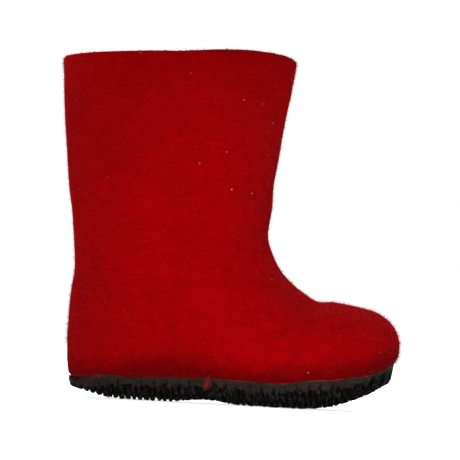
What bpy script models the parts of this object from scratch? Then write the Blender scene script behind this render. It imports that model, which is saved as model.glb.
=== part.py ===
"""A child's winter boot for the right foot: a seamless felted upper, an insole and a moulded rubber outsole.

Units are metres. +X runs from heel to toe, +Y to the wearer's left, which is the inner side, and +Z up
from the floor. The boot is worked out with the back of its heel at X = 0, and an empty then carries it
so that the origin is the middle of its footprint box.
"""

import math
from typing import NamedTuple

import bmesh
import bpy
import numpy as np
from mathutils import Vector
from mathutils.bvhtree import BVHTree

# Driving dimensions
FOOT_LENGTH = 0.190
BOOT_HEIGHT = 0.2035
BALL_WIDTH = 0.083
FELT_WALL = 0.0055
SEAT_GAP = 0.0003
WELD = 1e-6
SHARP_EDGE = math.radians(40)

# Felt upper
AROUND = 44
OUTER_RINGS = 41
INNER_RINGS = 27
RING_SAMPLES = 400
TOE_DOME = 2.5
DOME_SCALES = (0.20, 0.42, 0.62, 0.78, 0.90, 0.97)
RIM_STEPS = 4
CROWN_ROUND = 1.5
CROWN_LEAN = 1.2

# Insole
INSOLE_THICKNESS = 0.003
INSOLE_HEEL_X = 0.016
INSOLE_TOE_X = 0.168
INSOLE_MARGIN = 0.0085
INSOLE_ROWS = 20
FOOT_MIDDLE_Z = 0.036

# Rubber outsole
SOLE_HEEL_X = 0.0031
SOLE_TOE_X = 0.1868
SOLE_WIDTH = 0.0785
HEEL_ROUND = 0.031
TOE_ROUND = 0.046
END_ROUNDNESS = 2.1
HEEL_FLAT_X = 0.033
HEEL_ROCKER = 0.053
TOE_FLAT_X = 0.135
TOE_ROCKER = 0.076
ARCH_BACK_X = 0.058
ARCH_FRONT_X = 0.104
ARCH_RISE = 0.0020
LUG_DEPTH = 0.0058
LUG_END_SHARE = 0.22
LUG_FADE = 0.024
LUG_PITCH = 0.0068
LUG_ROW_PITCH = 0.0082
FIRST_GROOVE_X = 0.0106
GROOVE_WIDTH = 0.0034
GROOVE_REACH = 0.96
GROOVE_OVERRUN = 0.002
SOLE_END_ROWS = 4
SOLE_COLUMNS = (-1.0, -0.8, -0.4, 0.0, 0.4, 0.8, 1.0)


class Section(NamedTuple):
    """One cut through the felt, from a front or top point to a back or bottom point.

    Places along and up are shares of FOOT_LENGTH and BOOT_HEIGHT, width and inward are shares of
    BALL_WIDTH, widest is the share of the way from back to front, the rounds are superellipse powers,
    back_wall is in felt walls, and side_rise is a share of BOOT_HEIGHT.
    """

    front_x: float
    front_z: float
    back_x: float
    back_z: float
    width: float
    widest: float
    front_round: float
    back_round: float
    back_wall: float
    inward: float
    side_rise: float


SECTIONS = {
    "toe tip": Section(1.002, 0.273, 1.002, 0.122, 0.74, 0.36, 2.2, 3.0, 1.3, 0.050, 0.0),
    "toe": Section(0.884, 0.293, 0.884, 0.082, 0.87, 0.36, 2.1, 4.2, 1.4, 0.036, 0.0),
    "vamp": Section(0.790, 0.305, 0.785, 0.061, 0.96, 0.36, 2.0, 5.6, 1.4, 0.020, 0.0),
    "toe break": Section(0.749, 0.3045, 0.728, 0.056, 0.98, 0.36, 2.0, 6.1, 1.4, 0.013, 0.0),
    "ball": Section(0.704, 0.327, 0.670, 0.052, 1.00, 0.36, 2.0, 6.5, 1.4, 0.006, 0.0),
    "instep": Section(0.644, 0.372, 0.545, 0.050, 0.98, 0.39, 2.0, 6.2, 1.4, -0.004, 0.0),
    "waist": Section(0.614, 0.413, 0.400, 0.051, 0.94, 0.43, 2.0, 5.8, 1.5, -0.006, 0.0),
    "arch": Section(0.599, 0.452, 0.260, 0.048, 0.93, 0.46, 2.1, 5.4, 1.7, 0.0, 0.0),
    "heel seat": Section(0.593, 0.486, 0.130, 0.047, 0.93, 0.48, 2.2, 4.4, 1.8, 0.0, 0.0),
    "heel corner": Section(0.592, 0.514, 0.018, 0.059, 0.94, 0.50, 2.2, 2.75, 1.6, 0.0, 0.0),
    "heel": Section(0.593, 0.541, 0.002, 0.150, 0.95, 0.50, 2.2, 2.3, 1.2, 0.0, 0.0),
    "heel top": Section(0.596, 0.575, 0.000, 0.250, 0.96, 0.50, 2.2, 2.2, 1.0, 0.0, 0.0),
    "ankle": Section(0.599, 0.614, 0.009, 0.368, 0.97, 0.50, 2.2, 2.2, 1.0, 0.0, 0.0),
    "low shaft": Section(0.603, 0.668, -0.003, 0.492, 1.00, 0.50, 2.3, 2.2, 1.0, 0.0, 0.0),
    "mid shaft": Section(0.612, 0.737, -0.022, 0.610, 1.04, 0.50, 2.3, 2.3, 1.0, 0.0, 0.0014),
    "high shaft": Section(0.624, 0.816, -0.038, 0.733, 1.08, 0.50, 2.3, 2.3, 1.0, 0.0, 0.0056),
    "under collar": Section(0.637, 0.893, -0.050, 0.853, 1.12, 0.50, 2.3, 2.3, 1.0, 0.0, 0.012),
    "collar": Section(0.647, 0.964, -0.057, 0.941, 1.15, 0.50, 2.3, 2.3, 1.0, 0.0, 0.018),
}
TOE_ROW = list(SECTIONS).index("toe")


class SoleStation(NamedTuple):
    """Flanks of the outsole at one share of its length. Outer and inner are shares of SOLE_WIDTH."""

    along: float
    outer: float
    inner: float


SOLE_STATIONS = {
    "heel end": SoleStation(0.00, 0.36, 0.36),
    "heel": SoleStation(0.14, 0.375, 0.375),
    "heel front": SoleStation(0.28, 0.425, 0.415),
    "waist": SoleStation(0.42, 0.445, 0.405),
    "ball": SoleStation(0.68, 0.486, 0.490),
    "toes": SoleStation(0.82, 0.453, 0.495),
    "toe end": SoleStation(1.00, 0.43, 0.48),
}


class SoleLevel(NamedTuple):
    """One edge line round the outsole: its inset, its height in lug depths above the tips, and a rise."""

    inset: float
    lugs: float
    rise: float


SOLE_LEVELS = {
    "inside the felt": SoleLevel(0.0, 1.0, 0.018),
    "rim foot": SoleLevel(0.0003, 1.0, 0.0),
    "lug root": SoleLevel(0.0009, 1.0, -0.0004),
    "lug tip": SoleLevel(0.0026, 0.0, 0.0),
}


class Curve:
    """A smooth curve through rows of numbers, read at a distance along them."""

    def __init__(self, places, rows):
        self.places = np.array(places, float)
        self.rows = np.array(rows, float)
        self.slopes = np.gradient(self.rows, self.places, axis=0)

    def at(self, place):
        place = min(max(place, self.places[0]), self.places[-1])
        i = min(int(np.searchsorted(self.places, place, side="right")) - 1, len(self.places) - 2)
        step = self.places[i + 1] - self.places[i]
        u = (place - self.places[i]) / step
        start, end = self.rows[i], self.rows[i + 1]
        lift = u * u * (3 - 2 * u)
        leave = u * (1 - u) ** 2 * step
        arrive = u * u * (u - 1) * step
        return start + (end - start) * lift + self.slopes[i] * leave + self.slopes[i + 1] * arrive


def felt_curve():
    """The sections' sizes in metres, as one curve along the felt from toe tip to collar."""
    rows = []
    for section in SECTIONS.values():
        sized = section._replace(
            front_x=section.front_x * FOOT_LENGTH,
            front_z=section.front_z * BOOT_HEIGHT,
            back_x=section.back_x * FOOT_LENGTH,
            back_z=section.back_z * BOOT_HEIGHT,
            width=section.width * BALL_WIDTH,
            back_wall=section.back_wall * FELT_WALL,
            inward=section.inward * BALL_WIDTH,
            side_rise=section.side_rise * BOOT_HEIGHT,
        )
        rows.append(sized)
    steps = []
    for before, after in zip(rows, rows[1:]):
        front = math.hypot(after.front_x - before.front_x, after.front_z - before.front_z)
        back = math.hypot(after.back_x - before.back_x, after.back_z - before.back_z)
        steps.append(max(front, back))
    return Curve(np.concatenate([[0], np.cumsum(steps)]), rows)


def half_ring(front, back, half_width, front_round, back_round, count):
    """Evenly spaced (along, across) points from the front point round one side to the back point."""
    angles = np.linspace(0, math.pi, RING_SAMPLES)
    cos, sin = np.cos(angles), np.sin(angles)
    power = np.where(cos >= 0, front_round, back_round)
    along = np.where(cos >= 0, front, back) * np.sign(cos) * np.abs(cos) ** (2 / power)
    across = half_width * np.abs(sin) ** (2 / power)
    length = np.concatenate([[0], np.cumsum(np.hypot(np.diff(along), np.diff(across)))])
    even = np.linspace(0, length[-1], count + 1)
    return np.interp(even, length, along), np.interp(even, length, across)


def felt_ring(curve, place, inset=0.0, lift=0.0, dome=1.0):
    """The closed loop of points where the felt is cut at one place, inset into its wall by a distance."""
    section = Section(*curve.at(place))
    front = Vector((section.front_x, section.inward, section.front_z))
    back = Vector((section.back_x, section.inward, section.back_z))
    axis = (front - back).normalized()
    normal = Vector((-axis.z, 0, axis.x))
    length = (front - back).length
    middle = back + axis * length * section.widest
    front_reach = length * (1 - section.widest) - inset
    back_reach = length * section.widest - inset * section.back_wall / FELT_WALL
    half_width = section.width / 2 - inset
    along, across = half_ring(
        front_reach, back_reach, half_width, section.front_round, section.back_round, AROUND // 2
    )
    sides = [(a, c) for a, c in zip(along, across)]
    sides += [(a, -c) for a, c in zip(along[-2:0:-1], across[-2:0:-1])]
    points = []
    for a, c in sides:
        forward = max(a, 0) / front_reach
        crown = (abs(c) / half_width) ** CROWN_ROUND * (1 + CROWN_LEAN * forward)
        rise = lift + section.side_rise * crown
        points.append(middle + (axis * a + Vector((0, c, 0))) * dome + normal * rise)
    return points, middle


def extrude_loop(bm, loop, points):
    """Draws the open edge loop out to the next ring of points."""
    edges = [bm.edges.get((a, b)) for a, b in zip(loop, loop[1:] + loop[:1])]
    made = bmesh.ops.extrude_edge_only(bm, edges=edges)["geom"]
    old = set(loop)
    follows = {}
    for vert in made:
        if isinstance(vert, bmesh.types.BMVert):
            for edge in vert.link_edges:
                other = edge.other_vert(vert)
                if other in old:
                    follows[other] = vert
    drawn = [follows[vert] for vert in loop]
    for vert, point in zip(drawn, points):
        vert.co = point
    return drawn


def close_with_pole(bm, face, point):
    """Turns the face that ends a shell into a fan about one point."""
    bmesh.ops.poke(bm, faces=[face])["verts"][0].co = point


def felt_skin(curve, inset, count):
    """The rings of one skin of the felt from toe to collar, and the pole that closes its toe."""
    toe = curve.places[TOE_ROW]
    rings = []
    for scale in DOME_SCALES:
        reach = (toe - inset) * (1 - scale**TOE_DOME) ** (1 / TOE_DOME)
        rings.append(felt_ring(curve, toe - reach, inset, dome=scale)[0])
    for place in np.linspace(toe, curve.places[-1], count):
        rings.append(felt_ring(curve, place, inset)[0])
    return rings, felt_ring(curve, inset)[1]


def collar_rim(curve):
    """The rings of the collar's round edge, from the outer skin over to the inner one."""
    rings = []
    for step in range(1, RIM_STEPS):
        turn = math.pi * step / RIM_STEPS
        inset = FELT_WALL / 2 * (1 - math.cos(turn))
        rings.append(felt_ring(curve, curve.places[-1], inset, FELT_WALL / 2 * math.sin(turn))[0])
    return rings


def loft(rings, start_pole):
    """A shell through rings of points, closed to a pole at its start and by a flat face at its end."""
    bm = bmesh.new()
    loop = bmesh.ops.create_circle(bm, segments=AROUND, cap_ends=True)["verts"]
    for vert, point in zip(loop, rings[0]):
        vert.co = point
    close_with_pole(bm, bm.faces[:][0], start_pole)
    for points in rings[1:]:
        loop = extrude_loop(bm, loop, points)
    bmesh.ops.triangulate(bm, faces=bm.faces, quad_method="FIXED")
    end = bmesh.ops.contextual_create(bm, geom=loop)["faces"][0]
    return bm, end


def felt_shell(curve):
    """The felted upper: one hollow wall, open at the collar, whose foot is felted shut underneath."""
    outer, outer_pole = felt_skin(curve, 0.0, OUTER_RINGS)
    inner, inner_pole = felt_skin(curve, FELT_WALL, INNER_RINGS)
    bm, end = loft(outer + collar_rim(curve) + inner[::-1], outer_pole)
    close_with_pole(bm, end, inner_pole)
    bmesh.ops.recalc_face_normals(bm, faces=bm.faces)
    return bm


def felt_seat(curve):
    """The felt's outside as a solid, grown by the seat gap, which the outsole's top is shaped to."""
    bm, _ = loft(*felt_skin(curve, 0.0, OUTER_RINGS))
    bmesh.ops.recalc_face_normals(bm, faces=bm.faces)
    bm.normal_update()
    for vert, normal in [(vert, vert.normal.copy()) for vert in bm.verts]:
        vert.co += normal * SEAT_GAP
    return bm


def end_round(share):
    """Share of the full width at a share of the way in from a rounded end."""
    share = min(max(share, 0), 1)
    return (1 - (1 - share) ** END_ROUNDNESS) ** (1 / END_ROUNDNESS)


class Outline:
    """Plan outline of the sole, inset from the outsole's edge by a margin."""

    def __init__(self, heel_x, toe_x, margin):
        self.heel_x, self.toe_x, self.margin = heel_x, toe_x, margin
        stations = SOLE_STATIONS.values()
        self.flanks = Curve([s.along for s in stations], [s[1:] for s in stations])

    def half_widths(self, x):
        outer, inner = self.flanks.at((x - SOLE_HEEL_X) / (SOLE_TOE_X - SOLE_HEEL_X)) * SOLE_WIDTH
        ends = end_round((x - self.heel_x) / HEEL_ROUND) * end_round((self.toe_x - x) / TOE_ROUND)
        return (outer - self.margin) * ends, (inner - self.margin) * ends

    def y(self, x, column):
        outer, inner = self.half_widths(x)
        return column * (inner if column > 0 else outer)


def tip_height(x):
    """Height of the lugs' tips: flat under heel and ball, with a heel rocker, an arch and a toe spring."""
    heel = max(0.0, HEEL_FLAT_X - x) ** 2 / (2 * HEEL_ROCKER)
    toe = max(0.0, x - TOE_FLAT_X) ** 2 / (2 * TOE_ROCKER)
    share = min(max((x - ARCH_BACK_X) / (ARCH_FRONT_X - ARCH_BACK_X), 0), 1)
    return heel + toe + ARCH_RISE * math.sin(math.pi * share) ** 2


def lug_depth(x):
    """Depth of the tread, which fades out towards both ends of the sole."""
    share = min(max(min(x - SOLE_HEEL_X, SOLE_TOE_X - x) / LUG_FADE, 0), 1)
    return LUG_DEPTH * (LUG_END_SHARE + (1 - LUG_END_SHARE) * share * share * (3 - 2 * share))


def groove_places():
    count = int((SOLE_TOE_X - FIRST_GROOVE_X) / LUG_PITCH)
    return [FIRST_GROOVE_X + i * LUG_PITCH for i in range(count)]


def sole_rows():
    """X of each row of the outsole with its tip height: close together at the ends, then two to a lug."""
    grooves = groove_places()
    ease = [1 - math.cos(math.pi / 2 * i / SOLE_END_ROWS) for i in range(SOLE_END_ROWS)]
    rows = [SOLE_HEEL_X + (grooves[0] - SOLE_HEEL_X) * share for share in ease]
    rows = [(x, tip_height(x)) for x in rows]
    for x, after in zip(grooves, grooves[1:]):
        middle = (tip_height(x) + tip_height(after)) / 2
        rows += [(x, tip_height(x)), ((x + after) / 2, middle)]
    rows.append((grooves[-1], tip_height(grooves[-1])))
    toe = [SOLE_TOE_X - (SOLE_TOE_X - grooves[-1]) * share for share in ease[::-1]]
    return rows + [(x, tip_height(x)) for x in toe]


def sheet(rows, columns):
    """A flat grid of faces whose points know their row and column, for a sole to be drawn from."""
    bm = bmesh.new()
    for name in ("row", "column"):
        bm.verts.layers.int.new(name)
    row, column = (bm.verts.layers.int[name] for name in ("row", "column"))
    bmesh.ops.create_grid(bm, x_segments=rows - 1, y_segments=columns - 1, size=1.0)
    for vert in bm.verts:
        vert[row] = round((vert.co.x + 1) / 2 * (rows - 1))
        vert[column] = round((vert.co.y + 1) / 2 * (columns - 1))
    return bm, row, column


def extrude_faces(bm, faces):
    """Extrudes a patch of faces and gives the drawn-out faces and their points."""
    edges = {edge for face in faces for edge in face.edges}
    made = bmesh.ops.extrude_face_region(bm, geom=[*faces, *edges])["geom"]
    drawn = [part for part in made if isinstance(part, bmesh.types.BMFace)]
    return drawn, [part for part in made if isinstance(part, bmesh.types.BMVert)]


def outsole_blank():
    """The outsole before it is seated and its tread is cut: a rim that narrows to a flat tread."""
    outline = Outline(SOLE_HEEL_X, SOLE_TOE_X, 0.0)
    rows = sole_rows()
    bm, row, column = sheet(len(rows), len(SOLE_COLUMNS))
    lowest, verts = bm.faces[:], bm.verts[:]
    for number, level in enumerate(SOLE_LEVELS.values()):
        if number:
            lowest, verts = extrude_faces(bm, lowest)
        for vert in verts:
            x, tip = rows[vert[row]]
            y = outline.y(x, SOLE_COLUMNS[vert[column]]) * (1 - level.inset / (SOLE_WIDTH / 2))
            vert.co = (x, y, tip + level.lugs * lug_depth(x) + level.rise)
    bmesh.ops.remove_doubles(bm, verts=bm.verts, dist=WELD)
    bmesh.ops.recalc_face_normals(bm, faces=bm.faces)
    return bm


def groove_profile(x):
    """Corners of a groove's V at one place along the sole, as (half width, height)."""
    tip, depth = tip_height(x), lug_depth(x) * GROOVE_REACH
    half = GROOVE_WIDTH / 2 * depth / LUG_DEPTH
    mouth = half * (depth + GROOVE_OVERRUN) / depth
    return (-mouth, tip - GROOVE_OVERRUN), (mouth, tip - GROOVE_OVERRUN), (0.0, tip + depth)


def cross_grooves():
    """V-shaped cuts right across the tread, one between each two rows of lugs."""
    bm = bmesh.new()
    for x in groove_places():
        corners = [bm.verts.new((x + side, -SOLE_WIDTH, z)) for side, z in groove_profile(x)]
        face = bm.faces.new(corners)
        _, drawn = extrude_faces(bm, [face])
        bmesh.ops.translate(bm, verts=drawn, vec=(0, 2 * SOLE_WIDTH, 0))
    bmesh.ops.recalc_face_normals(bm, faces=bm.faces)
    return bm


def long_grooves():
    """V-shaped cuts along the tread, following its rocker, arch and spring."""
    bm = bmesh.new()
    places = [SOLE_HEEL_X - LUG_PITCH, *groove_places(), SOLE_TOE_X + LUG_PITCH]
    count = int(SOLE_WIDTH / 2 / LUG_ROW_PITCH)
    for line in range(-count, count):
        y = (line + 0.5) * LUG_ROW_PITCH
        corners = [bm.verts.new((places[0], y + side, z)) for side, z in groove_profile(places[0])]
        end = [bm.faces.new(corners)]
        for x in places[1:]:
            profile = groove_profile(x)
            end, drawn = extrude_faces(bm, end)
            for vert in drawn:
                side = min(profile, key=lambda corner: abs(corner[0] - (vert.co.y - y)))
                vert.co = (x, y + side[0], side[1])
    bmesh.ops.recalc_face_normals(bm, faces=bm.faces)
    return bm


def insole_plate(felt_tree):
    """A felt footbed cut to the floor of the upper and lying on it."""
    outline = Outline(INSOLE_HEEL_X, INSOLE_TOE_X, INSOLE_MARGIN)
    middle, half = (INSOLE_TOE_X + INSOLE_HEEL_X) / 2, (INSOLE_TOE_X - INSOLE_HEEL_X) / 2
    rows = [middle - half * math.cos(math.pi * i / (INSOLE_ROWS - 1)) for i in range(INSOLE_ROWS)]
    bm, row, column = sheet(INSOLE_ROWS, len(SOLE_COLUMNS))

    def floor_point(vert):
        x = rows[vert[row]]
        inside = Vector((x, outline.y(x, SOLE_COLUMNS[vert[column]]), FOOT_MIDDLE_Z))
        return felt_tree.ray_cast(inside, Vector((0, 0, -1)))[0] + Vector((0, 0, SEAT_GAP))

    for vert in bm.verts:
        vert.co = floor_point(vert) + Vector((0, 0, INSOLE_THICKNESS))
    for vert in extrude_faces(bm, bm.faces[:])[1]:
        vert.co = floor_point(vert)
    bmesh.ops.remove_doubles(bm, verts=bm.verts, dist=WELD)
    bmesh.ops.recalc_face_normals(bm, faces=bm.faces)
    return bm


def material(name, colour, roughness):
    made = bpy.data.materials.new(name)
    made.use_nodes = True
    shader = made.node_tree.nodes["Principled BSDF"]
    shader.inputs["Base Color"].default_value = (*colour, 1.0)
    shader.inputs["Roughness"].default_value = roughness
    shader.inputs["Metallic"].default_value = 0.0
    return made


def add_object(name, bm, finish, parent):
    mesh = bpy.data.meshes.new(name)
    bm.to_mesh(mesh)
    made = bpy.data.objects.new(name, mesh)
    bpy.context.scene.collection.objects.link(made)
    made.parent = parent
    if finish:
        mesh.materials.append(finish)
        mesh.shade_smooth()
        mesh.set_sharp_from_angle(angle=SHARP_EDGE)
    return made


def add_cutter(name, bm, cut, parent):
    """A hidden shape that is cut out of another object."""
    cutter = add_object(name, bm, None, parent)
    cutter.hide_render = True
    cutter.display_type = "WIRE"
    modifier = cut.modifiers.new(name, "BOOLEAN")
    modifier.operation = "DIFFERENCE"
    modifier.solver = "EXACT"
    modifier.object = cutter


def main():
    for old in list(bpy.data.objects):
        bpy.data.objects.remove(old)
    felt = material("red_felt", (0.30, 0.002, 0.006), 0.95)
    lining = material("grey_felt", (0.32, 0.29, 0.26), 0.95)
    rubber = material("black_rubber", (0.022, 0.020, 0.018), 0.7)

    curve = felt_curve()
    upper = felt_shell(curve)
    tree = BVHTree.FromBMesh(upper)
    reach = [vert.co for vert in upper.verts]
    boot = bpy.data.objects.new("boot", None)
    bpy.context.scene.collection.objects.link(boot)
    boot.location = [-(min(axis) + max(axis)) / 2 for axis in list(zip(*reach))[:2]] + [0.0]

    add_object("felt_upper", upper, felt, boot)
    add_object("insole", insole_plate(tree), lining, boot)
    outsole = add_object("outsole", outsole_blank(), rubber, boot)
    add_cutter("felt_seat", felt_seat(curve), outsole, boot)
    add_cutter("cross_grooves", cross_grooves(), outsole, boot)
    add_cutter("long_grooves", long_grooves(), outsole, boot)


main()
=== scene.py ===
"""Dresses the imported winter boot: felt, nap, insole, rubber sole and cement line, and the studio around it.

Units are metres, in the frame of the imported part: +X from heel to toe, +Y to the inner side, +Z up.
"""

import logging
import math
from dataclasses import dataclass
from enum import Enum
from typing import Any, Mapping, NamedTuple, Optional, Sequence, Union

import bmesh
import bpy
import numpy as np
from mathutils import Matrix, Vector, noise
from mathutils.bvhtree import BVHTree


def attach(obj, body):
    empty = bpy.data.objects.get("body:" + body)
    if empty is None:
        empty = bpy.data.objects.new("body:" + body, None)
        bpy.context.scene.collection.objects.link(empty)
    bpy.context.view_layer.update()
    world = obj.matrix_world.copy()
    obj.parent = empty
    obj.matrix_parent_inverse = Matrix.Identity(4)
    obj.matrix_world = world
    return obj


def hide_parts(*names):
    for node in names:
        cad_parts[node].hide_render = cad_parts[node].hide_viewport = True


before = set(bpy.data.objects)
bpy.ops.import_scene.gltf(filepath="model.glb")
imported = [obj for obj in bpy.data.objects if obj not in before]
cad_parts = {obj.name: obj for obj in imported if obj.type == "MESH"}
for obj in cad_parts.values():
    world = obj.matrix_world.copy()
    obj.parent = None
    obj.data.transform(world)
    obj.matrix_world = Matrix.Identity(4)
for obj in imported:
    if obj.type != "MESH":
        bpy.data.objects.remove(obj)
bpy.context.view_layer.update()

Colour = tuple[float, float, float]
Place = tuple[float, float, float]

BODY = "root"
SEAT_GAP = 0.0003
NAP_SEED = 1907
TREAD_SEED = NAP_SEED + 20
KNOT_SEED = NAP_SEED + 40
WISP_SEED = NAP_SEED + 70
OUTSIDE_Y = -0.2

log = logging.getLogger("winter_boot")


def clamped(value: float) -> float:
    """A value held between 0 and 1."""
    return min(max(value, 0.0), 1.0)


class Signal:
    """One output socket of a shader node, which takes part in Python arithmetic."""

    def __init__(self, nodes: "NodeMaker", socket: bpy.types.NodeSocket) -> None:
        """Wraps a socket of the given nodes."""
        self.nodes = nodes
        self.socket = socket

    def __add__(self, other: "Number") -> "Signal":
        """Sum of two values."""
        return self.nodes.math("ADD", self, other)

    __radd__ = __add__

    def __sub__(self, other: "Number") -> "Signal":
        """This value less another."""
        return self.nodes.math("SUBTRACT", self, other)

    def __rsub__(self, other: "Number") -> "Signal":
        """A number less this value."""
        return self.nodes.math("SUBTRACT", other, self)

    def __mul__(self, other: "Number") -> "Signal":
        """Product of two values."""
        return self.nodes.math("MULTIPLY", self, other)

    __rmul__ = __mul__


Number = Union[Signal, float]


class NodeMaker:
    """Adds nodes to one shader tree."""

    def __init__(self, tree: bpy.types.NodeTree) -> None:
        """Takes the tree that the nodes go into."""
        self.tree = tree

    def node(
        self,
        kind: str,
        settings: Optional[Mapping[str, Any]] = None,
        sockets: Optional[Mapping[Union[str, int], Any]] = None,
        output: Union[str, int] = 0,
    ) -> Signal:
        """Adds one node.

        Args:
            kind: Blender's type name of the node.
            settings: the node's own settings, set before its sockets.
            sockets: values or signals by the name or number of the input socket.
            output: name or number of the output socket that is wanted.

        Returns:
            The chosen output as a signal.
        """
        made = self.tree.nodes.new(kind)
        for name, value in (settings or {}).items():
            setattr(made, name, value)
        for name, value in (sockets or {}).items():
            self.feed(made.inputs[name], value)
        return Signal(self, made.outputs[output])

    def feed(self, socket: bpy.types.NodeSocket, value: Any) -> None:
        """Links a signal to an input socket, or sets the socket's own value."""
        if isinstance(value, Signal):
            self.tree.links.new(value.socket, socket)
        else:
            socket.default_value = value

    def math(self, operation: str, first: Number, second: Number) -> Signal:
        """One Math node on two values."""
        return self.node("ShaderNodeMath", {"operation": operation}, {0: first, 1: second})

    def axes(self, place: Signal) -> tuple[Signal, Signal, Signal]:
        """The three numbers of a place, one signal each."""
        split = self.node("ShaderNodeSeparateXYZ", sockets={0: place})
        outputs = split.socket.node.outputs
        return split, Signal(self, outputs[1]), Signal(self, outputs[2])

    def between(self, value: Number, low: float, high: float) -> Signal:
        """A smooth step from 0 at low to 1 at high."""
        settings = {"interpolation_type": "SMOOTHSTEP", "clamp": True}
        return self.node("ShaderNodeMapRange", settings, {0: value, 1: low, 2: high, 3: 0.0, 4: 1.0})

    def hump(self, value: Number, span: tuple[float, float, float, float]) -> Signal:
        """A smooth hump that rises between the span's first two values and falls between its last two."""
        return self.between(value, *span[:2]) * (1 - self.between(value, *span[2:]))


class Grain(NamedTuple):
    """One noise pattern: the size of its largest features, its finer layers, its swirl and its stretch."""

    size: float
    detail: float = 2.0
    twist: float = 0.0
    lay: Optional[Place] = None
    turn: Place = (0.0, 0.0, 0.0)


class Mix(NamedTuple):
    """A value made up of noises: where it starts, and the share that each noise adds."""

    start: float
    shares: tuple[float, ...]

    def of(self, *noises: Signal) -> Signal:
        """The starting value plus each noise times its share."""
        return sum((share * signal for share, signal in zip(self.shares, noises)), self.start)


class FinishNodes(NodeMaker):
    """The nodes of one material, from its texture coordinates to its shader."""

    noise_roughness = 0.55

    def __init__(self, name: str) -> None:
        """Starts a material of that name with its shader alone."""
        self.material = bpy.data.materials.new(name)
        self.material.use_nodes = True
        super().__init__(self.material.node_tree)
        self.shader = self.tree.nodes["Principled BSDF"]

    def place(self) -> Signal:
        """The place on the piece, in metres."""
        return self.node("ShaderNodeTexCoord", output="Object")

    def noise(self, place: Signal, grain: Grain) -> Signal:
        """Soft random values from 0 to 1.

        Args:
            place: where the noise is read.
            grain: its pattern, in the units of the place.

        Returns:
            The noise as a signal.
        """
        if grain.lay:
            stretch = {"Vector": place, "Rotation": grain.turn, "Scale": grain.lay}
            place = self.node("ShaderNodeMapping", sockets=stretch)
        sockets = {
            "Vector": place,
            "Scale": 1 / grain.size,
            "Detail": grain.detail,
            "Roughness": self.noise_roughness,
            "Distortion": grain.twist,
        }
        return self.node("ShaderNodeTexNoise", sockets=sockets)

    def blend(self, share: Number, first: Any, second: Any) -> Signal:
        """A colour on the way from the first to the second."""
        sockets = {0: share, 6: opaque(first), 7: opaque(second)}
        return self.node("ShaderNodeMix", {"data_type": "RGBA"}, sockets, 2)

    def bump(self, height: Number, depth: float) -> Signal:
        """A surface normal from a height of 0 to 1 that stands for that depth."""
        sockets = {"Height": height, "Distance": depth, "Strength": 1.0}
        return self.node("ShaderNodeBump", sockets=sockets)

    def shade(self, sockets: Mapping[str, Any]) -> bpy.types.Material:
        """Feeds the shader's sockets and gives the finished material."""
        for name, value in sockets.items():
            self.feed(self.shader.inputs[name], opaque(value))
        return self.material


def opaque(value: Any) -> Any:
    """A colour with its fourth number added, or any other value as it is."""
    return (*value, 1.0) if isinstance(value, tuple) and len(value) == 3 else value


@dataclass(frozen=True)
class SoleSoilAndShade:
    """Soiling and painted shade on the felt above the sole's rim, darkest at the joint where the felt rounds
    under; both reach higher at the waist and the ball.
    """

    joint_z: float = 0.0177
    spring_x: float = 0.040
    spring_rise: float = 4.6
    ragged: float = 0.008
    reach: tuple[float, float] = (0.0005, 0.0150)
    most: float = 0.92
    waist: tuple[float, float, float, float] = (-0.070, -0.028, -0.026, 0.024)
    waist_stretch: float = 0.38
    ball: tuple[float, float, float, float] = (0.020, 0.062, 0.062, 0.100)
    ball_stretch: float = 0.20
    heel: tuple[float, float] = (-0.068, -0.046)
    heel_drop: float = 0.0026

    def share(self, nodes: FinishNodes, place: Signal, mottle: Signal) -> Signal:
        """Share of soiling and painted shade at a place on the felt.

        Args:
            nodes: the material's nodes.
            place: the place on the felt.
            mottle: noise that breaks the edge of the soiling and painted shade.

        Returns:
            The share as a signal.
        """
        along, _, up = nodes.axes(place)
        spring = nodes.math("MAXIMUM", along - self.spring_x, 0.0)
        above = up - self.joint_z - spring * spring * self.spring_rise + self.ragged * mottle
        waist = self.waist_stretch * nodes.hump(along, self.waist)
        ball = self.ball_stretch * nodes.hump(along, self.ball)
        heel = self.heel_drop * (1 - nodes.between(along, *self.heel))
        return self.most * (1 - nodes.between(above * (1 - waist - ball) + heel, *self.reach))


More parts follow.
